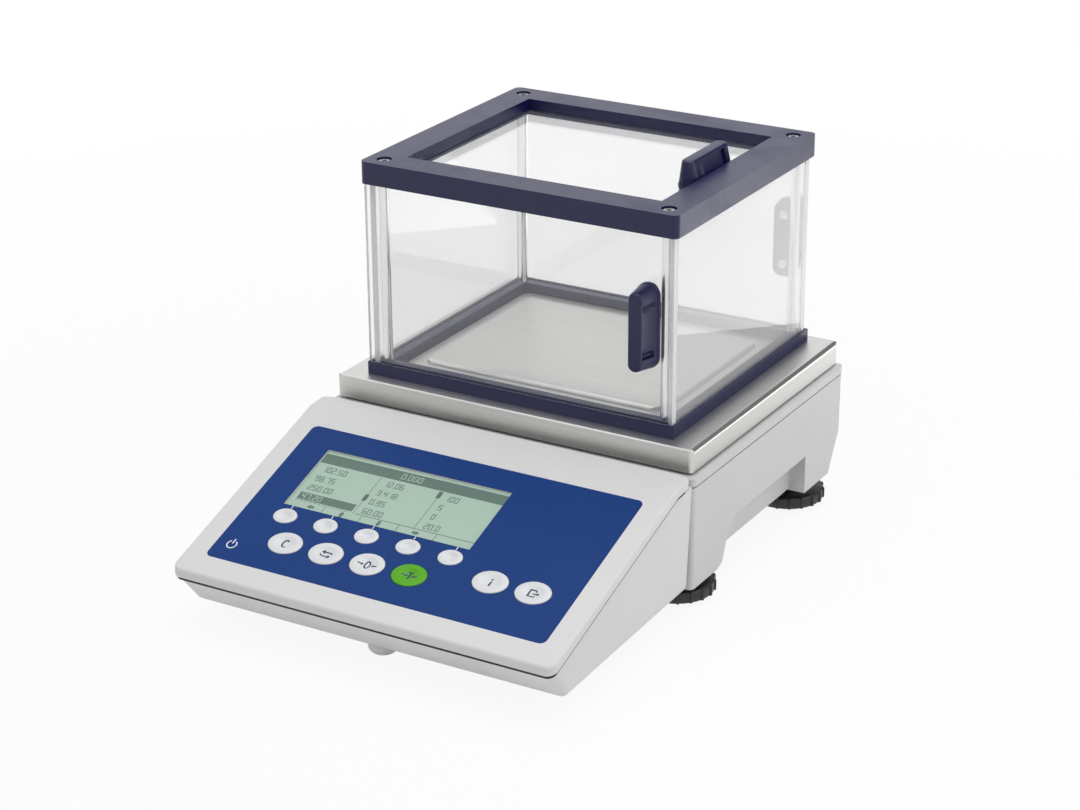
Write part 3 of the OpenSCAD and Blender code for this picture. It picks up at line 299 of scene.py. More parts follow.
@dataclass(frozen=True)
class Finish:
    """A finish with a name and a base colour in linear light."""

    label: str
    colour: Colour

    def material(self) -> bpy.types.Material:
        """Material of this finish, built once.

        Returns:
            The material.
        """
        found = bpy.data.materials.get(self.label)
        if found is None:
            found = bpy.data.materials.new(self.label)
            found.use_nodes = True
            found.node_tree.nodes.clear()
            found.diffuse_color = (*self.colour, 1.0)
            board = Board(found.node_tree)
            output = board.add("ShaderNodeOutputMaterial")
            board.join(self.surface(board), output.inputs["Surface"])
        return found

    def surface(self, board: Board) -> bpy.types.NodeSocket:
        """Shader of the surface, as each kind of finish makes it.

        Args:
            board: The material's tree.

        Returns:
            Output that holds the shader.
        """
        raise NotImplementedError


@dataclass(frozen=True)
class Moulded(Finish):
    """Moulded plastic, rubber or sprayed paint with a fine grain."""

    rough: float = 0.45
    spread: float = 0.06
    grain: float = 2600.0
    depth: float = 0.12
    mottle: float = 0.04
    shine: float = 0.5

    def surface(self, board: Board) -> bpy.types.NodeSocket:
        """Shader of the grained surface.

        Args:
            board: The material's tree.

        Returns:
            Output that holds the shader.
        """
        skin = board.add("ShaderNodeBsdfPrincipled", Specular_IOR_Level=self.shine)
        grain = Effect.GRAIN.place(board, Scale=self.grain)
        film = Effect.FILM.place(board, Scale=28.0)
        deep, pale = shade(self.colour, 1 - self.mottle), shade(self.colour, 1 + self.mottle)
        tint = board.blend(grain.outputs["Mottle"], deep, pale)
        dull = board.spread(film.outputs["Film"], self.rough - self.spread, self.rough + self.spread)
        bump = board.add("ShaderNodeBump", Strength=self.depth, Distance=0.0002)
        board.join(tint, skin.inputs["Base Color"])
        board.join(dull, skin.inputs["Roughness"])
        board.join(grain.outputs["Height"], bump.inputs["Height"])
        board.join(bump.outputs["Normal"], skin.inputs["Normal"])
        return skin.outputs["BSDF"]


@dataclass(frozen=True)
class Metal(Finish):
    """Bare metal with brushed or turned lines along one direction."""

    rough: float = 0.3
    spread: float = 0.08
    stretch: tuple[float, float, float] = (60.0, 5200.0, 5200.0)
    depth: float = 0.08
    contrast: float = 0.05

    def surface(self, board: Board) -> bpy.types.NodeSocket:
        """Shader of the lined metal.

        Args:
            board: The material's tree.

        Returns:
            Output that holds the shader.
        """
        skin = board.add("ShaderNodeBsdfPrincipled", Metallic=1.0)
        lines = Effect.BRUSHED.place(board, Stretch=self.stretch)
        film = Effect.FILM.place(board, Scale=14.0)
        deep, pale = shade(self.colour, 1 - self.contrast), shade(self.colour, 1 + self.contrast)
        tint = board.blend(lines.outputs["Streaks"], deep, pale)
        sum_node = board.add("ShaderNodeMath", operation="MULTIPLY_ADD")
        sum_node.inputs[1].default_value = 0.25
        board.join(film.outputs["Film"], sum_node.inputs[0])
        board.join(lines.outputs["Lines"], sum_node.inputs[2])
        dull = board.spread(sum_node.outputs[0], self.rough - self.spread, self.rough + self.spread)
        bump = board.add("ShaderNodeBump", Strength=self.depth, Distance=0.0001)
        board.join(tint, skin.inputs["Base Color"])
        board.join(dull, skin.inputs["Roughness"])
        board.join(lines.outputs["Lines"], bump.inputs["Height"])
        board.join(bump.outputs["Normal"], skin.inputs["Normal"])
        return skin.outputs["BSDF"]


@dataclass(frozen=True)
class Glass(Finish):
    """Clear pane that lets light and shadow through, with a faint film."""

    clear: float = 0.96
    rough: float = 0.0
    haze: float = 0.004
    shine: float = 0.5
    bending: float = 1.46

    def surface(self, board: Board) -> bpy.types.NodeSocket:
        """Shader of the pane.

        Args:
            board: The material's tree.

        Returns:
            Output that holds the shader.
        """
        pane = board.add(
            "ShaderNodeBsdfPrincipled",
            Transmission_Weight=self.clear,
            IOR=self.bending,
            Specular_IOR_Level=self.shine,
        )
        film = Effect.FILM.place(board, Scale=9.0)
        tint = board.blend(film.outputs["Film"], shade(self.colour, 1.0), shade(self.colour, 0.985))
        board.join(tint, pane.inputs["Base Color"])
        dull = board.spread(film.outputs["Film"], self.rough, self.rough + self.haze)
        board.join(dull, pane.inputs["Roughness"])
        through = board.add("ShaderNodeBsdfTransparent")
        rays = board.add("ShaderNodeLightPath")
        either = board.greatest((rays.outputs["Is Shadow Ray"], rays.outputs["Is Diffuse Ray"]))
        mix = board.add("ShaderNodeMixShader")
        board.join(either, mix.inputs["Fac"])
        board.join(pane.outputs["BSDF"], mix.inputs[1])
        board.join(through.outputs["BSDF"], mix.inputs[2])
        return mix.outputs["Shader"]


@dataclass(frozen=True)
class Circuit(Finish):
    """Green circuit board with copper traces under its mask."""

    def surface(self, board: Board) -> bpy.types.NodeSocket:
        """Shader of the board.

        Args:
            board: The material's tree.

        Returns:
            Output that holds the shader.
        """
        skin = board.add("ShaderNodeBsdfPrincipled", Roughness=0.35)
        place = board.add("ShaderNodeTexCoord")
        traces = board.add("ShaderNodeTexVoronoi", distance="MANHATTAN", feature="F1", Scale=240.0)
        edge = board.add("ShaderNodeMapRange", From_Min=0.55, From_Max=0.62)
        board.join(place.outputs["Object"], traces.inputs["Vector"])
        board.join(traces.outputs["Distance"], edge.inputs["Value"])
        tint = board.blend(edge.outputs["Result"], shade(self.colour, 1), shade(self.colour, 1.9))
        board.join(tint, skin.inputs["Base Color"])
        bump = board.add("ShaderNodeBump", Strength=0.2, Distance=0.0001)
        board.join(edge.outputs["Result"], bump.inputs["Height"])
        board.join(bump.outputs["Normal"], skin.inputs["Normal"])
        return skin.outputs["BSDF"]


@dataclass(frozen=True)
class Dots(Finish):
    """Face of a dot-matrix display under its glossy film."""

    pitch: float = 0.00038

    def surface(self, board: Board) -> bpy.types.NodeSocket:
        """Shader of the display's face.

        Args:
            board: The material's tree.

        Returns:
            Output that holds the shader.
        """
        skin = board.add("ShaderNodeBsdfPrincipled", Coat_Weight=0.5, Coat_Roughness=0.08)
        place = board.add("ShaderNodeTexCoord")
        cells = board.add("ShaderNodeTexChecker", Scale=1 / self.pitch)
        film = Effect.FILM.place(board, Scale=16.0)
        board.join(place.outputs["Object"], cells.inputs["Vector"])
        tint = board.blend(cells.outputs["Fac"], shade(self.colour, 0.985), shade(self.colour, 1.015))
        board.join(tint, skin.inputs["Base Color"])
        board.join(board.spread(film.outputs["Film"], 0.34, 0.46), skin.inputs["Roughness"])
        return skin.outputs["BSDF"]


class Shelf:
    """All finishes of the balance."""

    NAVY = Moulded(
        "navy_plastic", srgb(16, 18, 68), rough=0.36, spread=0.05, grain=1900.0, depth=0.10, shine=0.46
    )
    CASING = Moulded(
        "pale_grey_casing", srgb(222, 222, 222), rough=0.46, grain=2400.0, depth=0.16, mottle=0.012
    )
    PAINT = Moulded(
        "pale_grey_paint_coat", srgb(208, 208, 208), rough=0.44, grain=1700.0, depth=0.2, mottle=0.014
    )
    RUBBER = Moulded("seal_rubber_black", srgb(38, 38, 40), rough=0.72, grain=3200.0, depth=0.25)
    BLACK = Moulded(
        "knob_black_plastic", srgb(30, 29, 32), rough=0.4, spread=0.07, grain=2200.0, depth=0.22, mottle=0.1
    )
    FOIL = Moulded(
        "panel_blue_foil", srgb(6, 56, 124), rough=0.44, spread=0.03, grain=5200.0, depth=0.08,
        mottle=0.03, shine=0.15,
    )
    WHITE_KEY = Moulded(
        "key_white_cap", srgb(226, 227, 230), rough=0.36, grain=4200.0, depth=0.06, mottle=0.012
    )
    GREEN_KEY = Moulded(
        "key_green_cap", srgb(88, 172, 12), rough=0.4, grain=4200.0, depth=0.06, mottle=0.03, shine=0.25
    )
    WHITE_INK = Moulded(
        "panel_white_print", srgb(232, 236, 244), rough=0.5, grain=6000.0, depth=0.05, mottle=0.02
    )
    NAVY_INK = Moulded("key_navy_print", srgb(22, 34, 84), rough=0.5, grain=6000.0, depth=0.05, mottle=0.05)
    DARK_CELL = Moulded(
        "display_dark_cells", srgb(88, 116, 105), rough=0.4, grain=7000.0, depth=0.04, mottle=0.03
    )
    LIGHT_CELL = Moulded(
        "display_light_cells", srgb(172, 200, 184), rough=0.4, grain=7000.0, depth=0.04, mottle=0.02
    )
    LCD = Dots("display_green_face", srgb(167, 195, 178))
    RODS = Metal(
        "rod_polished_steel", (0.88, 0.88, 0.87), rough=0.14, spread=0.05, stretch=(5200.0, 5200.0, 90.0),
        depth=0.03,
    )
    SCREWS = Metal("screw_turned_steel", (0.62, 0.62, 0.61), rough=0.3, stretch=(2600.0, 2600.0, 900.0))
    PLATE = Metal("plate_brushed_steel", (0.68, 0.675, 0.66), rough=0.4, spread=0.1, depth=0.2, contrast=0.14)
    # Darker copy of the plate's brushed steel for its upright faces: painted shade.
    SKIRT_PAINTED_SHADE = Metal(
        "plate_skirt_painted_shade", (0.6, 0.595, 0.58), rough=0.42, spread=0.1, depth=0.2, contrast=0.12
    )
    FOLD = Metal(
        "plate_polished_fold", (0.66, 0.66, 0.65), rough=0.24, spread=0.03, stretch=(2600.0, 40.0, 2600.0),
        depth=0.02, contrast=0.04,
    )
    ALLOY = Metal("cell_milled_alloy", (0.72, 0.73, 0.74), rough=0.36, stretch=(900.0, 2400.0, 2400.0))
    TOP_PANE = Glass("top_clear_glass", (0.98, 0.982, 0.982))
    DOOR_PANE = Glass("door_clear_glass", (0.945, 0.947, 0.947))
    # The side panes let less light through and show a pale milky veil, strongest on the right pane: painted
    # sheen for the reflection of the bright surroundings on the glass.
    LEFT_PANE_PAINTED_SHEEN = Glass("left_glass_painted_sheen", (0.94, 0.943, 0.943), clear=0.92)
    RIGHT_PANE_PAINTED_SHEEN = Glass("right_glass_painted_sheen", (0.76, 0.761, 0.761), clear=0.74, shine=0.2)
    EDGE = Glass("pane_ground_edge", (0.985, 0.99, 0.99), clear=0.3, rough=0.35, haze=0.1)
    CIRCUIT = Circuit("board_green_mask", srgb(26, 92, 54))

    BY_SLOT = {
        "shield_navy": NAVY,
        "clear_glass": DOOR_PANE,
        "polished_steel": RODS,
        "screw_steel": SCREWS,
        "brushed_plate": PLATE,
        "cell_aluminium": ALLOY,
        "pale_grey_paint": PAINT,
        "pale_grey_plastic": CASING,
        "seal_rubber": RUBBER,
        "black_plastic": BLACK,
        "board_green": CIRCUIT,
        "panel_blue": FOIL,
        "display_glass": LCD,
        "display_body": LCD,
        "key_white": WHITE_KEY,
        "key_green": GREEN_KEY,
    }


@dataclass
class Draft:
    """A mesh in the making."""

    label: str
    mesh: bmesh.types.BMesh = field(default_factory=bmesh.new)

    @classmethod
    def of_node(cls, label: str, node: bpy.types.Object, joined: bool = True) -> "Draft":
        """Start from a welded copy of a frame node.

        Args:
            label: Name of the piece.
            node: The frame's object.
            joined: Whether its flat faces are joined.

        Returns:
            The draft.
        """
        draft = cls(label)
        draft.mesh.from_mesh(node.data)
        bmesh.ops.remove_doubles(draft.mesh, verts=draft.mesh.verts, dist=2e-6)
        if joined:
            bmesh.ops.dissolve_limit(
                draft.mesh, angle_limit=math.radians(0.5), verts=draft.mesh.verts, edges=draft.mesh.edges
            )
        for face in draft.mesh.faces:
            face.material_index = 0
        return draft

    def loft(self, rings: Sequence[Sequence[Vector]], tag: int = 0) -> None:
        """Skin rings of equal length, stacked upwards and turning left seen from above, closed at both ends.

        Args:
            rings: The rings.
            tag: Material index of the faces.
        """
        rows = [[self.mesh.verts.new(point) for point in ring] for ring in rings]
        faces = []
        for low, high in zip(rows, rows[1:]):
            for i in range(len(low)):
                j = (i + 1) % len(low)
                faces.append(self.mesh.faces.new((low[i], low[j], high[j], high[i])))
        faces.append(self.mesh.faces.new(list(reversed(rows[0]))))
        faces.append(self.mesh.faces.new(rows[-1]))
        for face in faces:
            face.material_index = tag

    def lathe(self, profile: Sequence[Point], steps: int, tag: int = 0) -> None:
        """Turn a profile of radius and height round the Z axis, closed at both ends.

        Args:
            profile: Points from the lower end to the upper end.
            steps: Number of points round the axis.
            tag: Material index of the faces.
        """
        turns = [2 * math.pi * i / steps for i in range(steps)]
        self.loft([[Vector((r * math.cos(a), r * math.sin(a), z)) for a in turns] for r, z in profile], tag)

    def round_edges(self, width: float, steps: int, pick: Callable[[bmesh.types.BMEdge], bool]) -> None:
        """Round the picked edges.

        Args:
            width: Width of the rounding in the mesh's own units.
            steps: Number of strips.
            pick: Tells which edges are rounded.
        """
        edges = [edge for edge in self.mesh.edges if edge.is_manifold and pick(edge)]
        bmesh.ops.bevel(
            self.mesh, geom=edges, offset=width, offset_type="OFFSET", segments=steps, profile=0.5,
            affect="EDGES", clamp_overlap=True,
        )

    def cut(self, point: Vector, normal: Vector) -> None:
        """Add edges where a plane crosses the mesh.

        Args:
            point: Point of the plane.
            normal: Normal of the plane.
        """
        parts = [*self.mesh.verts, *self.mesh.edges, *self.mesh.faces]
        bmesh.ops.bisect_plane(self.mesh, geom=parts, dist=1e-6, plane_co=point, plane_no=normal)

    def move(self, place: Matrix) -> None:
        """Move all points by a matrix."""
        bmesh.ops.transform(self.mesh, matrix=place, verts=self.mesh.verts)

    def piece(self, finishes: Sequence[Finish], crease: float = 35.0, even: bool = False) -> bpy.types.Object:
        """Turn the draft into an object of the scene.

        Args:
            finishes: Finishes by material index.
            crease: Angle in degrees above which an edge stays sharp.
            even: Whether normals are weighted by face size.

        Returns:
            The object.
        """
        data = bpy.data.meshes.new(self.label)
        self.mesh.normal_update()
        self.mesh.to_mesh(data)
        self.mesh.free()
        for finish in finishes:
            data.materials.append(finish.material())
        data.shade_smooth()
        data.set_sharp_from_angle(angle=math.radians(crease))
        made = bpy.data.objects.new(self.label, data)
        bpy.context.scene.collection.objects.link(made)
        if even:
            weigh = made.modifiers.new("weighted_normals", "WEIGHTED_NORMAL")
            weigh.keep_sharp = True
        return made


def corner_edge(limit: float) -> Callable[[bmesh.types.BMEdge], bool]:
    """Picker of convex edges sharper than a limit.

    Args:
        limit: Angle between the faces' normals, in degrees.

    Returns:
        The picker.
    """
    bound = math.radians(limit)

    def pick(edge: bmesh.types.BMEdge) -> bool:
        """Tell whether the edge is a sharp outer corner."""
        return edge.is_convex and edge.calc_face_angle(0.0) > bound

    return pick


@dataclass
class Stand:
    """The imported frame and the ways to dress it."""

    frame: dict

    def __post_init__(self) -> None:
        """Read which body and which finish slot each node has."""
        record = self.frame["record"]
        self.slots: dict[str, str] = {part["node"]: part["material_slot"] for part in record["subparts"]}
        self.bodies: dict[str, str] = {
            node: body for body, nodes in record["behaviour"]["bodies"].items() for node in nodes
        }

    def node(self, name: str) -> bpy.types.Object:
        """Frame object of a node."""
        return self.frame["nodes"][name]

    def paint(self, name: str, finish: Finish) -> None:
        """Give a frame node one finish.

        Args:
            name: The node.
            finish: Its finish.
        """
        data = self.node(name).data
        data.materials.clear()
        data.materials.append(finish.material())

    def paint_all(self) -> None:
        """Give every frame node the finish of its slot."""
        for name, slot in self.slots.items():
            self.paint(name, Shelf.BY_SLOT[slot])

    def stand_in(self, piece: bpy.types.Object, name: str) -> None:
        """Let a piece stand for a frame node: it rides on the node's body and the node is hidden.

        Args:
            piece: The piece.
            name: The node.
        """
        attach(piece, self.bodies[name])
        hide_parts(name)
        LOG.info("%s stands for %s", piece.name, name)

    def attach(self, piece: bpy.types.Object, body: str, slot: str) -> None:
        """Let an added piece ride on a body.

        Args:
            piece: The piece.
            body: The body.
            slot: Finish slot of the record; not used.
        """
        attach(piece, body)
        LOG.info("%s rides on %s", piece.name, body)


@dataclass
class Ink:
    """Flat printed marks, drawn in millimetres of their own plane."""

    label: str
    width: float = 0.6
    size: float = 1.0
    mesh: bmesh.types.BMesh = field(default_factory=bmesh.new)

    def shape(self, points: Sequence[Point]) -> None:
        """Add a filled outline that turns left."""
        self.mesh.faces.new([self.mesh.verts.new((x, y, 0)) for x, y in points])

    def bar(self, x0: float, y0: float, x1: float, y1: float) -> None:
        """Add a filled rectangle between two corners."""
        self.shape(((x0, y0), (x1, y0), (x1, y1), (x0, y1)))

    def stroke(self, points: Sequence[Point], width: Optional[float] = None, closed: bool = False) -> None:
        """Add a line of even width along points.

        Args:
            points: The points.
            width: Width of the line, or None for the ink's own width.
            closed: Whether the line runs back to its start.
        """
        half = (width or self.width) / 2
        count = len(points)
        sides = []
        for i, (x, y) in enumerate(points):
            before = points[(i - 1) % count] if closed or i > 0 else points[i]
            after = points[(i + 1) % count] if closed or i < count - 1 else points[i]
            run_in = Vector((x - before[0], y - before[1]))
            run_out = Vector((after[0] - x, after[1] - y))
            run_in = run_in.normalized() if run_in.length > 0 else run_out.normalized()
            run_out = run_out.normalized() if run_out.length > 0 else run_in
            along = (run_in + run_out).normalized()
            across = Vector((-along.y, along.x))
            reach = half / max(0.35, across.dot(Vector((-run_in.y, run_in.x))))
            ends = [(x + s * across.x * reach, y + s * across.y * reach, 0) for s in (1, -1)]
            sides.append([self.mesh.verts.new(place) for place in ends])
        for i in range(count if closed else count - 1):
            a, b = sides[i], sides[(i + 1) % count]
            self.mesh.faces.new((a[1], b[1], b[0], a[0]))

    def arc(
        self, x: float, y: float, rx: float, ry: float, start: float, end: float, steps: int = 24
    ) -> list[Point]:
        """Points on an arc.

        Args:
            x: Centre across.
            y: Centre along.
            rx: Radius across.
            ry: Radius along.
            start: First angle in degrees.
            end: Last angle in degrees.
            steps: Number of parts.

        Returns:
            The points.
        """
        angles = (math.radians(start + (end - start) * i / steps) for i in range(steps + 1))
        return [(x + rx * math.cos(a), y + ry * math.sin(a)) for a in angles]

    def arrow(self, x: float, y: float, length: float, head: float, turn: float) -> None:
        """Add an arrow whose tip lies on a point.

        Args:
            x: Tip across.
            y: Tip along.
            length: Whole length.
            head: Length and half width of the head.
            turn: Direction in degrees, 0 to the right.
        """
        a = math.radians(turn)
        run = Vector((math.cos(a), math.sin(a)))
        side = Vector((-run.y, run.x))
        tip = Vector((x, y))
        root = tip - run * head
        tail = tip - run * length
        self.stroke((tuple(tail), tuple(root)))
        self.shape((tuple(tip), tuple(root + side * head * 0.75), tuple(root - side * head * 0.75)))

    def number(self, text: str, x: float, y: float, height: float) -> None:
        """Add a number of seven-bar digits that starts at a point.

        Args:
            text: Digits, points and signs.
            x: Left edge.
            y: Lower edge.
            height: Height of a digit.
        """
        w = height * 0.5
        bars = {
            "a": ((0, height), (w, height)),
            "b": ((w, height / 2), (w, height)),
            "c": ((w, 0), (w, height / 2)),
            "d": ((0, 0), (w, 0)),
            "e": ((0, 0), (0, height / 2)),
            "f": ((0, height / 2), (0, height)),
            "g": ((0, height / 2), (w, height / 2)),
        }
        lit = {
            "0": "abcdef", "1": "bc", "2": "abged", "3": "abgcd", "4": "fgbc", "5": "afgcd",
            "6": "afgedc", "7": "abc", "8": "abcdefg", "9": "abcdfg", "-": "g",
        }
        half = self.width / 2
        for sign in text:
            if sign == ".":
                self.bar(x - half, y - half, x + half, y + half)
                x += height * 0.3
                continue
            for name in lit[sign]:
                (x0, y0), (x1, y1) = bars[name]
                low_x, low_y = x + min(x0, x1), y + min(y0, y1)
                high_x, high_y = x + max(x0, x1), y + max(y0, y1)
                self.bar(low_x - half, low_y - half, high_x + half, high_y + half)
            x += height * 0.82

    def piece(self, finish: Finish, lay: Callable[[float, float], Vector]) -> bpy.types.Object:
        """Lay the marks on their surface.

        Args:
            finish: Finish of the ink.
            lay: Gives the place in the frame for a place on the sheet.

        Returns:
            The object.
        """
        for vert in self.mesh.verts:
            vert.co = lay(vert.co.x * self.size, vert.co.y * self.size)
        return Draft(self.label, self.mesh).piece((finish,), crease=60.0)


@dataclass
class DoorHandle:
    """Handle of a sliding door: a foot on the glass and a tapered grip with finger scoops."""

    foot_w: float = 15.0
    foot_l: float = 52.0
    foot_t: float = 3.0
    height: float = 17.0
    grip_w: float = 14.2
    grip_l: float = 51.4
    face_w: float = 8.2
    face_l: float = 47.6
    lean: float = 0.8
    face_round: float = 1.5
    scoop_l: float = 33.0
    scoop_in: float = 0.5
    scoop_reach: float = 6.2
    slot_l: float = 4.2
    slot_in: float = 1.9
    slot_reach: float = 5.0
    step: float = 0.2
    end_steps: int = 18

    def ring(
        self, half_w: float, half_l: float, z: float, shift: float, pull: Callable[[float], float]
    ) -> list[Vector]:
        """Ring with straight sides and full-round ends.

        Args:
            half_w: Half width.
            half_l: Half length.
            z: Height.
            shift: Sideways place of the middle.
            pull: How far the sides are drawn in at a place along the handle.

        Returns:
            The ring's points, turning left.
        """
        straight = half_l - half_w
        end = self.scoop_l / 2
        inner = end - self.slot_l
        marks = [0.0, 4.5, 9.0, (inner + end) / 2]
        marks += [place + gap for place in (inner, end) for gap in (-self.step, self.step)]
        side = sorted({-m for m in marks} | set(marks) | {straight, -straight})
        points = [Vector((shift + half_w - pull(y), y, z)) for y in side]
        for i in range(1, self.end_steps):
            a = math.pi * i / self.end_steps
            points.append(Vector((shift + half_w * math.cos(a), straight + half_w * math.sin(a), z)))
        points += [Vector((shift - half_w + pull(y), y, z)) for y in reversed(side)]
        for i in range(1, self.end_steps):
            a = math.pi + math.pi * i / self.end_steps
            points.append(Vector((shift + half_w * math.cos(a), -straight + half_w * math.sin(a), z)))
        return points

    def grip_ring(self, z: float, inset: float) -> list[Vector]:
        """Ring of the grip at a height.

        Args:
            z: Height over the glass.
            inset: How far the whole ring is drawn in.

        Returns:
            The ring's points.
        """
        share = (z - self.foot_t) / (self.height - self.foot_t)
        half_w = self.grip_w / 2 + (self.face_w - self.grip_w) / 2 * share - inset
        half_l = self.grip_l / 2 + (self.face_l - self.grip_l) / 2 * share - inset
        middle = (self.foot_t + self.height) / 2
        off = z - middle
        scoop = self.scoop_in * max(0.0, 1 - (off / self.scoop_reach) ** 2)
        slot = self.slot_in if abs(off) < self.slot_reach else 0.0
        end = self.scoop_l / 2

        def pull(y: float) -> float:
            """Depth of the scoop and its end slots at a place along the handle."""
            if abs(y) > end:
                return 0.0
            ramp = min(1.0, max(0.0, 2 - 2 * (end - abs(y)) / self.slot_l))
            return scoop + slot * ramp

        return self.ring(half_w, half_l, z, -self.lean * share, pull)

    def build(self, label: str, place: Matrix) -> bpy.types.Object:
        """Build the handle.

        Args:
            label: Name of the piece.
            place: Matrix from the handle's own millimetres to the frame.

        Returns:
            The object.
        """
        draft = Draft(label)
        top, half_w, half_l = self.foot_t, self.foot_w / 2, self.foot_l / 2
        foot_edge = ((0.0, 0.3), (0.35, 0.0), (top - 0.8, 0.0), (top - 0.25, 0.25), (top, 0.8))
        foot = [self.ring(half_w - inset, half_l - inset, z, 0.0, lambda y: 0.0) for z, inset in foot_edge]
        draft.loft(foot)
        middle = (self.foot_t + self.height) / 2
        low_slot, high_slot = middle - self.slot_reach, middle + self.slot_reach
        body = [self.foot_t - 0.1, self.foot_t + 0.25, self.foot_t + 0.5, 4.4]
        body += [low_slot - self.step, low_slot + self.step, 7.0, 8.5, middle, 11.5, 13.0]
        body += [high_slot - self.step, high_slot + self.step, 15.1]
        insets = [0.55, 0.45] + [0.0] * (len(body) - 2)
        rings = [self.grip_ring(z, inset) for z, inset in zip(body, insets)]
        for i in range(7):
            angle = math.pi / 2 * i / 6
            z = self.height - self.face_round * (1 - math.sin(angle))
            rings.append(self.grip_ring(z, self.face_round * (1 - math.cos(angle))))
        draft.loft(rings)
        draft.move(place)
        return draft.piece((Shelf.NAVY,), crease=38.0)


@dataclass
class DraftShield:
    """Glass draft shield with frames, panes and sliding doors, in millimetres from the plate's middle."""

    stand: Stand
    middle_y: float = 80.25
    plate_z: float = 101.0
    handle_x: float = 87.5
    handle_up: float = 67.0
    glass_y: float = 89.1
    top_handle_x: float = 77.5
    top_handle_y: float = -1.5
    top_glass_z: float = 128.0
    frame_round: float = 0.45
    glass_round: float = 0.3
    handle: DoorHandle = field(default_factory=DoorHandle)

    def frames(self) -> None:
        """Round the edges of the two navy frames."""
        for name in ("shield_top_frame", "shield_bottom_frame"):
            draft = Draft.of_node(name + "_rounded", self.stand.node(name), joined=False)
            draft.round_edges(self.frame_round * MM, 2, corner_edge(50))
            self.stand.stand_in(draft.piece((Shelf.NAVY,), even=True), name)

    def panes(self) -> None:
        """Give the panes polished faces, small bevels and ground edges."""
        faces = (
            ("front_pane", 1, Shelf.DOOR_PANE),
            ("rear_pane", 1, Shelf.DOOR_PANE),
            ("top_pane", 2, Shelf.TOP_PANE),
            ("left_pane", 0, Shelf.LEFT_PANE_PAINTED_SHEEN),
            ("right_pane", 0, Shelf.RIGHT_PANE_PAINTED_SHEEN),
        )
        for name, axis, clear in faces:
            draft = Draft.of_node(name + "_ground", self.stand.node(name))
            draft.round_edges(self.glass_round * MM, 1, corner_edge(60))
            for face in draft.mesh.faces:
                face.material_index = 0 if abs(face.normal[axis]) > 0.98 else 1
            self.stand.stand_in(draft.piece((clear, Shelf.EDGE), crease=20.0), name)

    def handles(self) -> None:
        """Build the three door handles."""
        shrink = Matrix.Scale(MM, 4)
        quarter = Matrix.Rotation(math.pi / 2, 4, "X")
        side_z, top_z = self.plate_z + self.handle_up, self.plate_z + self.top_glass_z
        front = Vector((self.handle_x, self.middle_y - self.glass_y, side_z)) * MM
        rear = Vector((self.handle_x, self.middle_y + self.glass_y, side_z)) * MM
        top = Vector((self.top_handle_x, self.middle_y + self.top_handle_y, top_z)) * MM
        places = {
            "front_handle": Matrix.Translation(front) @ quarter @ shrink,
            "rear_handle": Matrix.Translation(rear) @ quarter.inverted() @ shrink,
            "top_handle": Matrix.Translation(top) @ shrink,
        }
        for name, place in places.items():
            self.stand.stand_in(self.handle.build(name + "_moulded", place), name)

    def build(self) -> None:
        """Build and dress the whole shield."""
        self.frames()
        self.panes()
        self.handles()


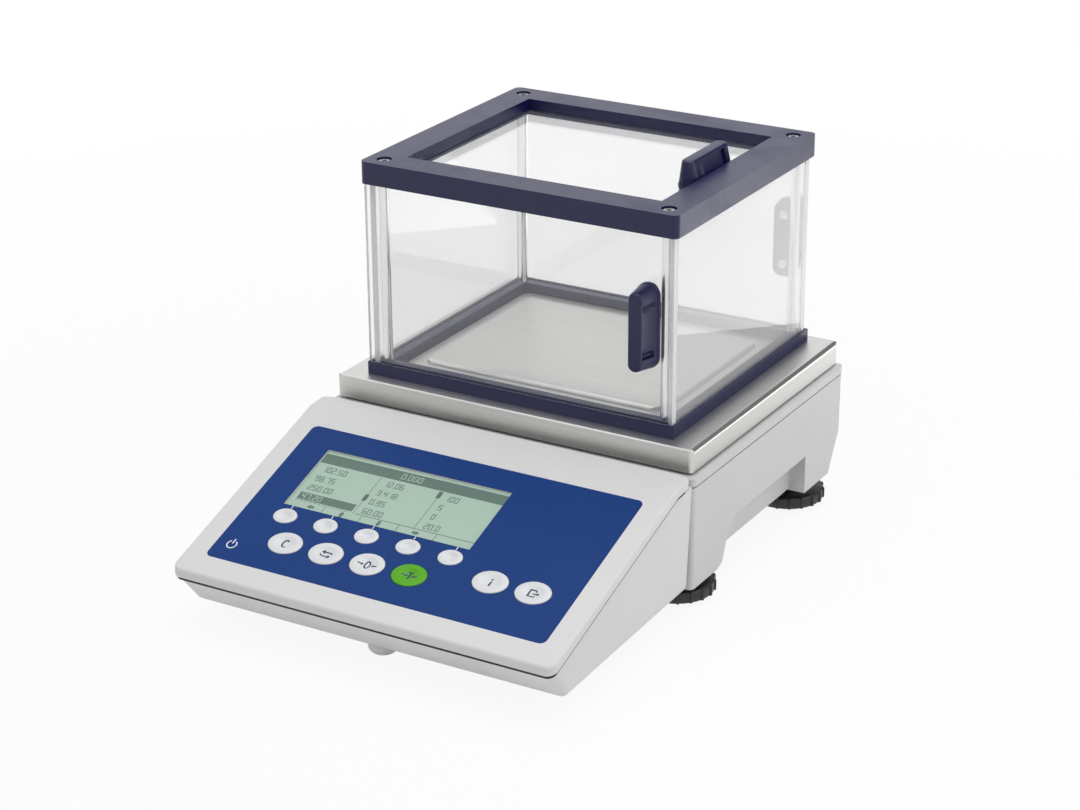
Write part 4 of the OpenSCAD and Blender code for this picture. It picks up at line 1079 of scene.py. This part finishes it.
@dataclass
class LevellingFeet:
    """Four ribbed knobs with threaded studs."""

    stand: Stand
    middle_y: float = 80.25
    side_x: float = 104.0
    front_y: float = -83.0
    rear_y: float = 69.0
    low: float = 3.0
    high: float = 10.5
    radius: float = 23.0
    ribs: int = 18
    rib_h: float = 1.0
    rib_angle: float = 1.5
    rib_blend: float = 0.7
    rib_crown: float = 0.55
    socket_r: float = 3.06
    socket_top: float = 6.3
    stud_r: float = 4.0
    stud_top: float = 39.5
    thread: float = 1.25
    thread_in: float = 0.55

    def ring(self, z: float, inset: float, ribbed: bool = True) -> list[Vector]:
        """Ring of the knob's ribbed side.

        Args:
            z: Height.
            inset: How far the ring is drawn in.
            ribbed: Whether the ribs show.

        Returns:
            The ring's points.
        """
        wide, crown = self.rib_angle, self.rib_angle * self.rib_crown
        steps = (
            (-wide - self.rib_blend, 0.0), (-wide, 0.7), (-crown, 1.0), (0.0, 1.0),
            (crown, 1.0), (wide, 0.7), (wide + self.rib_blend, 0.0), (180 / self.ribs, 0.0),
        )
        points = []
        for i in range(self.ribs):
            for turn, rise in steps:
                a = math.radians(360 * i / self.ribs + turn)
                r = self.radius - inset + (self.rib_h * rise if ribbed else 0.0)
                points.append(Vector((r * math.cos(a), r * math.sin(a), z)))
        return points

    def knob(self, label: str, x: float, y: float) -> bpy.types.Object:
        """Build one knob with its stud.

        Args:
            label: Name of the piece.
            x: Sideways place.
            y: Place along the depth, from the plate's middle.

        Returns:
            The object.
        """
        draft = Draft(label)
        inner = self.radius - self.socket_r
        rings = [self.ring(self.socket_top, inner, False), self.ring(self.low, inner, False)]
        rings += [
            self.ring(self.low, 1.3), self.ring(self.low + 0.35, 0.4), self.ring(self.low + 0.9, 0.0),
            self.ring(self.high - 1.1, 0.0), self.ring(self.high - 0.4, 0.35), self.ring(self.high, 1.2),
            self.ring(self.high, 5.0, False), self.ring(self.high - 0.7, 5.7, False),
            self.ring(self.high - 0.7, 13.0, False), self.ring(self.high, 13.6, False),
            self.ring(self.high, self.radius - self.stud_r, False),
        ]
        draft.loft(rings)
        turns = int((self.stud_top - self.high) / self.thread)
        profile = [(self.stud_r, self.high - 0.5)]
        for i in range(turns):
            z = self.high + i * self.thread
            profile += [(self.stud_r, z + 0.15), (self.stud_r - self.thread_in, z + self.thread * 0.5)]
        profile += [(self.stud_r - 0.2, self.stud_top - 0.6), (self.stud_r - 0.9, self.stud_top)]
        draft.lathe(profile, 28, 1)
        draft.move(Matrix.Translation(Vector((x, self.middle_y + y, 0)) * MM) @ Matrix.Scale(MM, 4))
        return draft.piece((Shelf.BLACK, Shelf.SCREWS), crease=42.0)

    def build(self) -> None:
        """Build and dress the four knobs."""
        for depth, y in (("front", self.front_y), ("rear", self.rear_y)):
            for side, x in (("left", -self.side_x), ("right", self.side_x)):
                name = f"knob_{depth}_{side}"
                self.stand.stand_in(self.knob(name + "_ribbed", x, y), name)


@dataclass
class Casing:
    """Pale base and terminal with softened outer edges, and the folded load plate, in millimetres."""

    stand: Stand
    corner: float = 6.0
    edge: float = 1.6
    low_edge: float = 0.4
    side_round: float = 5.0
    chin_round: float = 4.0
    cuts: int = 7
    back_wall: float = 3.1
    low_reach: float = 3.0
    high_reach: float = 9.2
    housing_edge: float = 1.2
    fold: float = 2.0
    side_fold: float = 1.55
    end_fold: float = 0.5
    fold_end: float = 3.2
    upright: float = 0.04
    sideways: float = 0.2
    polished: float = 0.92
    level: float = 0.9
    cover_reach: float = 5.2
    cover_back: float = 1.8
    cover_corner: float = 9.0
    cover_rise: float = 0.079

    def on_rim(self, name: str, radius: float, upper: bool) -> Callable[[bmesh.types.BMEdge], bool]:
        """Picker of edges on a node's outer plan outline, whose rear corners are square.

        Args:
            name: The node, whose box gives the outline.
            radius: Radius of the outline's front corners.
            upper: Whether edges beside an upper face are picked, or those beside a lower one.

        Returns:
            The picker.
        """
        low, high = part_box(name)
        middle = (low + high) / 2
        half = (high - low) / 2

        def outside(point: Vector) -> float:
            """Distance from the outline in plan."""
            r = radius * MM if point.y < middle.y else 0.0
            x = abs(point.x - middle.x) - half.x + r
            y = abs(point.y - middle.y) - half.y + r
            return math.hypot(max(x, 0), max(y, 0)) + min(max(x, y), 0) - r

        sharp = corner_edge(32)

        def pick(edge: bmesh.types.BMEdge) -> bool:
            """Tell whether both ends lie on the outline and the edge is sharp."""
            side = any(face.normal.z > 0.5 if upper else face.normal.z < -0.5 for face in edge.link_faces)
            return side and sharp(edge) and all(abs(outside(v.co)) < 0.12 * MM for v in edge.verts)

        return pick

    def shell(self) -> bpy.types.Object:
        """Build the terminal's shell with its long lower edges rounded off and its back leaning to the base.

        Returns:
            The object.
        """
        draft = Draft.of_node("terminal_shell_softened", self.stand.node("terminal_shell"), joined=False)
        half_w = max(vert.co.x for vert in draft.mesh.verts)
        under = self.wide_face(draft, lambda n: n.z < -0.98)
        chin = self.wide_face(draft, lambda n: n.y < -0.5 and n.z < -0.3)
        sides = [(Vector((s * half_w, 0, 0)), Vector((s, 0, 0))) for s in (-1, 1)]
        for point, normal in (under, chin, *sides):
            for i in range(1, self.cuts + 1):
                depth = self.side_round * MM * 1.05 * (i / self.cuts) ** 1.5
                draft.cut(point - normal * depth, normal)
        for vert in draft.mesh.verts:
            vert.co = self.rounded(vert.co, half_w, under, chin)
        low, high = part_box("terminal_shell")
        for vert in draft.mesh.verts:
            if vert.co.y > high.y - self.back_wall * MM:
                share = (vert.co.z - low.z) / (high.z - low.z)
                vert.co.y += (self.low_reach + (self.high_reach - self.low_reach) * share) * MM
        return draft.piece((Shelf.CASING,), even=True)

    def wide_face(self, draft: Draft, faces: Callable[[Vector], bool]) -> Plane:
        """Point and normal of the widest outer face that faces one way.

        Args:
            draft: The mesh.
            faces: Tells whether a normal faces that way.

        Returns:
            A point of the face and its normal.
        """
        found = max((f for f in draft.mesh.faces if faces(f.normal)), key=lambda f: f.calc_area())
        return found.verts[0].co.copy(), found.normal.copy()

    def rounded(self, point: Vector, half_w: float, under: Plane, chin: Plane) -> Vector:
        """Place of a shell point after rounding the edges between underside, chin and sides.

        Args:
            point: The point.
            half_w: Half width of the shell.
            under: Point and normal of the underside.
            chin: Point and normal of the chin.

        Returns:
            The new place.
        """
        wide, narrow = self.side_round * MM, self.chin_round * MM
        (low, down), (front, ahead) = under, chin
        below = (point - low).dot(down)
        before = (point - front).dot(ahead)
        if max(below, before) > 0.01 * MM:
            return point
        found = point.copy()
        lean = down.dot(ahead)
        u, v = narrow + below, narrow + before
        a, b = (u - lean * v) / (1 - lean * lean), (v - lean * u) / (1 - lean * lean)
        if a > 0 and b > 0:
            out = down * a + ahead * b
            reach = out.length
            out.normalize()
            found -= out * max(0.0, reach - narrow)
            depth = narrow - min(reach, narrow)
        else:
            out, depth = (down, -below) if below > before else (ahead, -before)
        across, deep = wide - (half_w - abs(point.x)), wide - depth
        if across > 0 and deep > 0:
            share = min(1.0, wide / math.hypot(across, deep))
            found.x -= math.copysign(across * (1 - share), point.x)
            found -= out * (deep * (1 - share))
        return found

    def plate(self) -> bpy.types.Object:
        """Build the load plate with wide polished folds along its sides, and a darker copy of its steel on
        the upright faces as painted shade.

        Returns:
            The object.
        """
        draft = Draft.of_node("load_plate_folded", self.stand.node("load_plate"), joined=False)
        low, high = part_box("load_plate")
        middle = (low + high) / 2
        half = (high - low) / 2
        bend, end, close = self.fold * MM, self.fold_end * MM, 0.02 * MM
        for axis in (Vector((1, 0, 0)), Vector((0, 1, 0))):
            for side in (-1, 1):
                draft.cut(middle + axis * side * (half.dot(axis) - end), axis)
        for vert in draft.mesh.verts:
            off = vert.co - middle
            down = half.z - off.z
            for axis, other, grow in ((0, 1, self.side_fold), (1, 0, self.end_fold)):
                across = half[axis] - abs(off[axis])
                reach = bend * grow
                depth = max(across, down)
                if half[other] - abs(off[other]) < end - close or depth > max(bend, reach) + close:
                    continue
                bent = abs(math.hypot(bend - across, bend - down) - bend) < close
                if bent and depth < bend + close:
                    vert.co[axis] = middle[axis] + math.copysign(half[axis] - across * grow, off[axis])
                    vert.co.z = high.z - down * grow
                elif down < close and across < reach:
                    vert.co[axis] = middle[axis] + math.copysign(half[axis] - reach, off[axis])
                elif across < close and down < reach:
                    vert.co.z = high.z - reach
        draft.mesh.normal_update()
        for face in draft.mesh.faces:
            near = half.x - abs(face.calc_center_median().x - middle.x) < bend * self.side_fold
            rise = face.normal.z
            if near and rise > self.upright and abs(face.normal.y) < self.sideways:
                face.material_index = 2 if rise < self.polished else 0
            # Upright faces and the steeper parts of the front and rear folds take the darker steel: painted
            # shade.
            elif abs(rise) < self.level:
                face.material_index = 1
        return draft.piece((Shelf.PLATE, Shelf.SKIRT_PAINTED_SHADE, Shelf.FOLD), crease=40.0, even=True)

    def cover(self) -> bpy.types.Object:
        """Build the terminal's cover with rounded edges and its back drawn out to the base.

        Returns:
            The object.
        """
        draft = Draft.of_node("terminal_cover_softened", self.stand.node("terminal_cover"))
        draft.round_edges(self.edge * MM, 3, self.on_rim("terminal_cover", self.corner, True))
        draft.round_edges(self.low_edge * MM, 2, self.on_rim("terminal_cover", self.corner, False))
        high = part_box("terminal_cover")[1]
        for i in range(1, self.cuts + 1):
            for side in (-1, 1):
                place = side * (high.x - self.cover_corner * MM * i / self.cuts)
                draft.cut(Vector((place, 0, 0)), Vector((1, 0, 0)))
        for vert in draft.mesh.verts:
            if vert.co.y > high.y - self.cover_back * MM:
                share = min(1.0, max(0.0, high.x - abs(vert.co.x)) / (self.cover_corner * MM))
                reach = self.cover_reach * MM * math.sqrt(1 - (1 - share) ** 2)
                vert.co.y += reach
                vert.co.z += reach * self.cover_rise
        return draft.piece((Shelf.CASING,), even=True)

    def build(self) -> None:
        """Soften and dress the casings and the load plate."""
        self.stand.stand_in(self.plate(), "load_plate")
        self.stand.stand_in(self.cover(), "terminal_cover")
        self.stand.stand_in(self.shell(), "terminal_shell")
        sharp = corner_edge(40)
        housing = Draft.of_node("base_housing_softened", self.stand.node("base_housing"))
        box_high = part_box("base_housing")[1]

        def leg_edge(edge: bmesh.types.BMEdge) -> bool:
            """Tell whether a sharp edge of the housing is a long one on its outside."""
            long = sharp(edge) and edge.calc_length() > 0.006
            side = min(abs(v.co.x) for v in edge.verts) > box_high.x - 0.0005
            return long and side and max(v.co.z for v in edge.verts) < box_high.z - 0.02

        housing.round_edges(self.housing_edge * MM, 3, leg_edge)
        self.stand.stand_in(housing.piece((Shelf.PAINT,), even=True), "base_housing")


@dataclass
class Keypad:
    """Operating panel with its keys, printed signs and display, in millimetres on the sloped panel."""

    stand: Stand
    front_y: float = -186.35
    front_z: float = 38.9
    slope: float = 18.97
    panel_in: float = 15.1
    display_x: float = -28.3
    display_s: float = 52.9
    display_w: float = 126.9
    display_l: float = 50.2
    display_low: float = -1.5
    display_top: float = -1.2
    soft_keys: int = 5
    soft_s: float = 43.7
    soft_pitch: float = 28.1
    soft_d: float = 15.2
    large_x: float = -71.3
    large_pitch: float = 28.0
    large_s: float = 23.5
    menu_x: float = 59.9
    menu_pitch: float = 27.3
    menu_s: float = 33.4
    large_d: float = 21.8
    oval: float = 0.79
    flange: float = 0.9
    flange_low: float = -4.6
    flange_top: float = -3.4
    rise: float = 0.6
    bowl: float = -0.7
    bowl_share: float = 0.62
    bowl_steps: int = 9
    bowl_rim: float = 0.12
    pole: float = 0.02
    key_steps: int = 72
    ink_lift: float = 0.03

    def panel(self) -> Matrix:
        """Matrix from the panel's millimetres to the frame.

        Returns:
            The matrix.
        """
        tilt = math.radians(self.slope)
        back, up = self.panel_in * math.cos(tilt), self.panel_in * math.sin(tilt)
        corner = Vector((0, self.front_y + back, self.front_z + up))
        return Matrix.Translation(corner * MM) @ Matrix.Rotation(tilt, 4, "X") @ Matrix.Scale(MM, 4)

    def soft_x(self, i: int) -> float:
        """Find a soft key's sideways place.

        Args:
            i: Its number, counted from the left.

        Returns:
            The place of its middle.
        """
        return self.display_x + (i - (self.soft_keys - 1) / 2) * self.soft_pitch

    def keys(self) -> dict[str, tuple[float, float, float]]:
        """Place and width of each key by node.

        Returns:
            Sideways place, place along the slope and width.
        """
        found = {}
        for i in range(self.soft_keys):
            found[f"soft_key_{i + 1}"] = (self.soft_x(i), self.soft_s, self.soft_d)
        for i, name in enumerate(("clear_key", "switch_key", "zero_key", "tare_key")):
            found[name] = (self.large_x + i * self.large_pitch, self.large_s, self.large_d)
        for i, name in enumerate(("info_key", "transfer_key")):
            found[name] = (self.menu_x + i * self.menu_pitch, self.menu_s, self.large_d)
        return found

    def bowl_z(self, share: float) -> float:
        """Height of a key's bowl at a share of its radius."""
        return self.bowl + (self.rise - self.bowl_rim - self.bowl) * (share / self.bowl_share) ** 2

    def key(self, name: str, width: float, place: Matrix) -> bpy.types.Object:
        """Build one oval key cap with a flat ring and a bowl.

        Args:
            name: The node.
            width: Width over the panel.
            place: Matrix of the key's own axis.

        Returns:
            The object.
        """
        r = width / 2
        out = r + self.flange
        rim = ((0.0, 0.05), (0.06, 0.2), (0.2, 0.33), (0.45, 0.4))
        lip = ((0.8, 0.52), (0.72, 0.58), (0.69, self.rise), (0.66, 0.57))
        bowl = [self.bowl_share * (1 - i / self.bowl_steps) for i in range(self.bowl_steps)]
        profile = [(self.pole, self.flange_low), (out, self.flange_low)]
        profile += [(out, self.flange_top), (r, self.flange_top)]
        profile += [(r - inset, z) for inset, z in rim]
        profile += [(share * r, z) for share, z in lip]
        profile += [(share * r, self.bowl_z(share)) for share in bowl] + [(self.pole, self.bowl)]
        draft = Draft(name + "_cap")
        draft.lathe(profile, self.key_steps)
        draft.move(place @ Matrix.Diagonal((1, self.oval, 1, 1)))
        return draft.piece((Shelf.GREEN_KEY if name == "tare_key" else Shelf.WHITE_KEY,), crease=50.0)

    def sign(self, name: str) -> Optional[Ink]:
        """Draw the sign on a key.

        Args:
            name: The node.

        Returns:
            The ink, or None for a bare key.
        """
        ink = Ink(name + "_sign", 0.62, 1.3)
        if name == "clear_key":
            ink.stroke(ink.arc(0, 0, 1.45, 2.1, 50, 310), 0.75)
        elif name == "switch_key":
            for side, turn in ((1, 180), (-1, 0)):
                ink.arrow(-2.7 * side, 1.2 * side, 4.5, 1.6, turn)
                ink.stroke(((1.7 * side, 1.2 * side), (2.4 * side, 1.0 * side), (2.8 * side, 0.2 * side)))
        elif name == "zero_key":
            ink.stroke(ink.arc(0, 0, 1.15, 2.0, 0, 360)[:-1], 0.7, closed=True)
            ink.arrow(-1.9, 0, 3.0, 1.1, 0)
            ink.arrow(1.9, 0, 3.0, 1.1, 180)
        elif name == "tare_key":
            ink.stroke(((0, -2.0), (0, 2.0)), 0.7)
            ink.stroke(((-1.2, 1.85), (1.2, 1.85)), 0.7)
            ink.arrow(-0.75, 0, 3.2, 1.1, 0)
            ink.arrow(0.75, 0, 3.2, 1.1, 180)
        elif name == "info_key":
            ink.stroke(((0, -2.0), (0, 1.0)), 0.75)
            ink.bar(-0.4, 1.5, 0.4, 2.3)
        elif name == "transfer_key":
            ink.stroke(((1.0, 1.9), (-1.9, 1.9), (-1.9, -1.9), (1.0, -1.9)))
            ink.stroke(((1.0, 1.9), (1.0, 1.0)))
            ink.stroke(((1.0, -1.9), (1.0, -1.0)))
            ink.arrow(3.0, 0, 3.4, 1.2, 0)
        else:
            return None
        return ink

    def build_keys(self) -> None:
        """Build all keys with their signs."""
        panel = self.panel()
        for name, (x, s, width) in self.keys().items():
            place = panel @ Matrix.Translation((x, s, 0))
            self.stand.stand_in(self.key(name, width, place), name)
            ink = self.sign(name)
            if ink is not None:
                radius = width / 2

                def lay(u: float, v: float, at: Matrix = place, r: float = radius) -> Vector:
                    """Place on the bowl for a place on the sign's sheet."""
                    return at @ Vector((u, v, self.bowl_z(math.hypot(u, v / self.oval) / r) + self.ink_lift))

                piece = ink.piece(Shelf.NAVY_INK, lay)
                self.stand.attach(piece, self.stand.bodies[name], self.stand.slots[name])

    def build_prints(self) -> None:
        """Print the power sign and the short lines between display and soft keys."""
        panel = self.panel()
        ink = Ink("panel_prints", 0.8)
        ink.stroke(ink.arc(-101.8, 12.8, 3.0, 3.0, 122, 418, 40))
        ink.stroke(((-101.8, 13.4), (-101.8, 17.4)))
        for i in range(self.soft_keys):
            x = self.soft_x(i)
            ink.bar(x - 0.3, self.soft_s + self.oval * self.soft_d / 2 + 0.5, x + 0.3, self.display_s - 0.15)
        piece = ink.piece(Shelf.WHITE_INK, lambda x, s: panel @ Vector((x, s, 0.02)))
        self.stand.attach(piece, "base", "panel_blue")

    def display_face(self) -> bpy.types.Object:
        """Build the display's recessed face.

        Returns:
            The object.
        """
        draft = Draft("display_face")
        half_w, half_l = self.display_w / 2 - 0.05, self.display_l / 2 - 0.05
        rings = []
        for z, inset in ((self.display_low, 0.0), (self.display_top - 0.1, 0.0), (self.display_top, 0.1)):
            w, l = half_w - inset, half_l - inset
            rings.append([Vector((x, y, z)) for x, y in ((-w, -l), (w, -l), (w, l), (-w, l))])
        draft.loft(rings)
        middle = Vector((self.display_x, self.display_s + self.display_l / 2, 0))
        draft.move(self.panel() @ Matrix.Translation(middle))
        return draft.piece((Shelf.LCD,), crease=30.0)

    def build_display(self) -> None:
        """Build the display with its dark and light cells."""
        self.stand.stand_in(self.display_face(), "display_window")
        panel = self.panel()
        w, l = self.display_w, self.display_l
        left = self.display_x - w / 2

        def lay(z: float) -> Callable[[float, float], Vector]:
            """Placing on the display at a height."""
            return lambda u, v: panel @ Vector((left + u, self.display_s + v, z))

        dark = Ink("display_dark_marks", 0.55)
        light = Ink("display_light_marks", 0.55)
        dark.bar(0.6, 0.79 * l, w - 0.6, 0.95 * l)
        light.number("0.000", 0.44 * w, 0.83 * l, 4.2)
        dark.bar(0.03 * w, 0.15 * l, 0.335 * w, 0.27 * l)
        light.number("47.20", 0.05 * w, 0.17 * l, 4.0)
        for i in range(12):
            u = 0.03 * w + i * 3.1
            dark.shape(((u, 0.12 * l), (u + 0.7, 0.12 * l), (u + 2.2, 0.145 * l), (u + 1.5, 0.145 * l)))
        columns = (
            (0.045, ("102.50", "98.75", "250.00")),
            (0.385, ("12.06", "3.418", "0.95", "60.00")),
            (0.715, ("100", "5", "0", "20.0")),
        )
        for share, rows in columns:
            for i, text in enumerate(rows):
                dark.number(text, share * w, (0.655 - 0.163 * i) * l, 4.0)
        for share, thumb in ((0.348, 0.41), (0.675, 0.72)):
            dark.bar(share * w - 0.2, 0.13 * l, share * w + 0.2, 0.785 * l)
            dark.bar(share * w - 1.4, (thumb - 0.055) * l, share * w + 1.4, (thumb + 0.055) * l)
        dark.bar(0.36 * w, 0.125 * l, w - 0.6, 0.135 * l)
        for share in (0.2, 0.4, 0.6, 0.8):
            dark.bar(share * w - 0.2, 0.4, share * w + 0.2, 0.13 * l)
        dark.width = 2.0
        for share, turn in ((0.13, 180), (0.3, 90), (0.5, 270), (0.7, 0)):
            middle = Vector((share * w, 0.068 * l))
            run = Vector((math.cos(math.radians(turn)), math.sin(math.radians(turn)))) * 2.4
            dark.arrow(middle.x + run.x, middle.y + run.y, 4.8, 2.4, turn)
        for ink, finish, lift in ((dark, Shelf.DARK_CELL, 0.02), (light, Shelf.LIGHT_CELL, 0.04)):
            self.stand.attach(ink.piece(finish, lay(self.display_top + lift)), "base", "display_glass")

    def build(self) -> None:
        """Build and dress the whole panel."""
        self.build_display()
        self.build_keys()
        self.build_prints()


@dataclass
class Studio:
    """Pale floor, soft lamps and the camera of the photograph."""

    azimuth: float = 30.33
    elevation: float = 22.47
    roll: float = -0.34
    distance: float = 1.69968
    target: tuple[float, float, float] = (-0.036852, 0.08025, 0.061088)
    focal: float = 89.636
    ambient: float = 0.5
    floor_share: float = 0.09
    floor_half: float = 4.0
    floor_z: float = -0.0002
    dark_share: float = 0.8

    def rays(self, board: Board) -> bpy.types.NodeSocket:
        """Mask of the rays that see the white surroundings.

        Args:
            board: The tree.

        Returns:
            Output that is 1 for camera, mirror and glass rays.
        """
        paths = board.add("ShaderNodeLightPath")
        names = ("Is Camera Ray", "Is Glossy Ray", "Is Transmission Ray")
        return board.greatest([paths.outputs[name] for name in names])

    def dark_band(self, board: Board) -> bpy.types.NodeSocket:
        """Mask of the dark back of the studio, behind the object on the right, as mirrors see it.

        Args:
            board: The world's tree.

        Returns:
            Output that is the share of darkness.
        """
        place = board.add("ShaderNodeTexCoord")
        parts = board.add("ShaderNodeSeparateXYZ")
        paths = board.add("ShaderNodeLightPath")
        board.join(place.outputs["Generated"], parts.inputs["Vector"])
        found = paths.outputs["Is Glossy Ray"]
        bounds = (
            ("Z", -0.1, 0.02, self.dark_share),
            ("Z", 0.8, 0.6, 1.0),
            ("Y", 0.2, 0.5, 1.0),
            ("X", -0.14, 0.02, 1.0),
        )
        for axis, none, full, top in bounds:
            ramp = board.add("ShaderNodeMapRange", From_Min=none, From_Max=full, To_Max=top)
            product = board.add("ShaderNodeMath", operation="MULTIPLY")
            board.join(parts.outputs[axis], ramp.inputs["Value"])
            board.join(found, product.inputs[0])
            board.join(ramp.outputs["Result"], product.inputs[1])
            found = product.outputs[0]
        return found

    def world(self) -> None:
        """Make the white surroundings with a plain ambient light."""
        world = bpy.data.worlds.new("white_studio")
        bpy.context.scene.world = world
        world.use_nodes = True
        world.node_tree.nodes.clear()
        board = Board(world.node_tree)
        soft = board.add("ShaderNodeBackground", Color=(1, 1, 1, 1), Strength=self.ambient)
        white = board.add("ShaderNodeBackground", Strength=1.0)
        board.join(board.blend(self.dark_band(board), (1, 1, 1, 1), (0, 0, 0, 1)), white.inputs["Color"])
        mix = board.add("ShaderNodeMixShader")
        output = board.add("ShaderNodeOutputWorld")
        board.join(self.rays(board), mix.inputs["Fac"])
        board.join(soft.outputs[0], mix.inputs[1])
        board.join(white.outputs[0], mix.inputs[2])
        board.join(mix.outputs[0], output.inputs["Surface"])

    def floor(self) -> None:
        """Lay a pale floor that keeps the object's shadow near it and runs out into white."""
        draft = Draft("studio_floor")
        half = self.floor_half
        corners = ((-half, -half), (half, -half), (half, half), (-half, half))
        draft.mesh.faces.new([draft.mesh.verts.new((x, y, self.floor_z)) for x, y in corners])
        data = bpy.data.meshes.new("studio_floor")
        draft.mesh.to_mesh(data)
        draft.mesh.free()
        plane = bpy.data.objects.new("studio_floor", data)
        bpy.context.scene.collection.objects.link(plane)
        material = bpy.data.materials.new("studio_white_floor")
        material.use_nodes = True
        material.node_tree.nodes.clear()
        board = Board(material.node_tree)
        output = board.add("ShaderNodeOutputMaterial")
        matt = board.add("ShaderNodeBsdfDiffuse", Color=(0.86, 0.86, 0.86, 1))
        glow = board.add("ShaderNodeEmission", Color=(1, 1, 1, 1), Strength=1.0)
        place = board.add("ShaderNodeTexCoord")
        length = board.add("ShaderNodeVectorMath", operation="LENGTH")
        near = board.add("ShaderNodeMapRange", From_Min=0.35, From_Max=1.0)
        near.inputs["To Min"].default_value = 1 - self.floor_share
        shown = board.add("ShaderNodeMath", operation="MULTIPLY")
        mix = board.add("ShaderNodeMixShader")
        board.join(place.outputs["Object"], length.inputs[0])
        board.join(length.outputs["Value"], near.inputs["Value"])
        board.join(near.outputs["Result"], shown.inputs[0])
        board.join(self.rays(board), shown.inputs[1])
        board.join(shown.outputs[0], mix.inputs["Fac"])
        board.join(matt.outputs[0], mix.inputs[1])
        board.join(glow.outputs[0], mix.inputs[2])
        board.join(mix.outputs[0], output.inputs["Surface"])
        data.materials.append(material)

    def lamp(self, label: str, place: Vector, aim: Vector, size: Point, watts: float) -> None:
        """Hang a soft rectangular lamp that the camera doesn't see.

        Args:
            label: Name of the lamp.
            place: Where it hangs.
            aim: Where it points.
            size: Width and height.
            watts: Power.
        """
        data = bpy.data.lights.new(label, "AREA")
        data.shape = "RECTANGLE"
        data.size, data.size_y = size
        data.energy = watts
        made = bpy.data.objects.new(label, data)
        made.location = place
        made.rotation_mode = "QUATERNION"
        made.rotation_quaternion = (aim - place).to_track_quat("-Z", "Y")
        made.visible_camera = False
        bpy.context.scene.collection.objects.link(made)

    def lamps(self) -> None:
        """Hang the top lamp, the right lamp and a low bounce panel on the right."""
        middle = Vector((0.0, 0.05, 0.1))
        self.lamp("top_lamp", Vector((0.05, 0.0, 1.35)), middle, (1.3, 1.3), 9.3)
        self.lamp("right_lamp", Vector((1.0, 0.25, 0.55)), middle, (0.8, 0.9), 2.1)
        self.lamp("low_panel", Vector((0.42, 0.46, 0.004)), Vector((0.40, 0.44, 1.0)), (0.5, 0.75), 1.6)

    def camera(self) -> None:
        """Set up the camera where the photograph was taken."""
        a, e, r = (math.radians(v) for v in (self.azimuth, self.elevation, self.roll))
        back = Vector((math.sin(a) * math.cos(e), -math.cos(a) * math.cos(e), math.sin(e)))
        right = (-back).cross(Vector((0, 0, 1))).normalized()
        up = right.cross(-back)
        across = right * math.cos(r) + up * math.sin(r)
        upward = up * math.cos(r) - right * math.sin(r)
        turn = Matrix((across, upward, back)).transposed()
        data = bpy.data.cameras.new("photo_camera")
        data.lens = self.focal
        data.sensor_width = 36.0
        data.clip_end = 20.0
        made = bpy.data.objects.new("photo_camera", data)
        made.matrix_world = Matrix.Translation(Vector(self.target) + back * self.distance) @ turn.to_4x4()
        bpy.context.scene.collection.objects.link(made)
        bpy.context.scene.camera = made

    def build(self) -> None:
        """Set up the whole studio."""
        bpy.context.scene.view_settings.view_transform = "Standard"
        self.world()
        self.floor()
        self.lamps()
        self.camera()
        LOG.info("studio is set up")


def main() -> None:
    """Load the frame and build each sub-assembly in order."""
    logging.basicConfig(level=logging.INFO, format="%(name)s: %(message)s")
    stand = Stand(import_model())
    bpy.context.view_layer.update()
    Studio().build()
    stand.paint_all()
    for assembly in (DraftShield(stand), Casing(stand), LevellingFeet(stand), Keypad(stand)):
        assembly.build()
        LOG.info("%s is dressed", type(assembly).__name__)


if __name__ == "__main__":
    main()
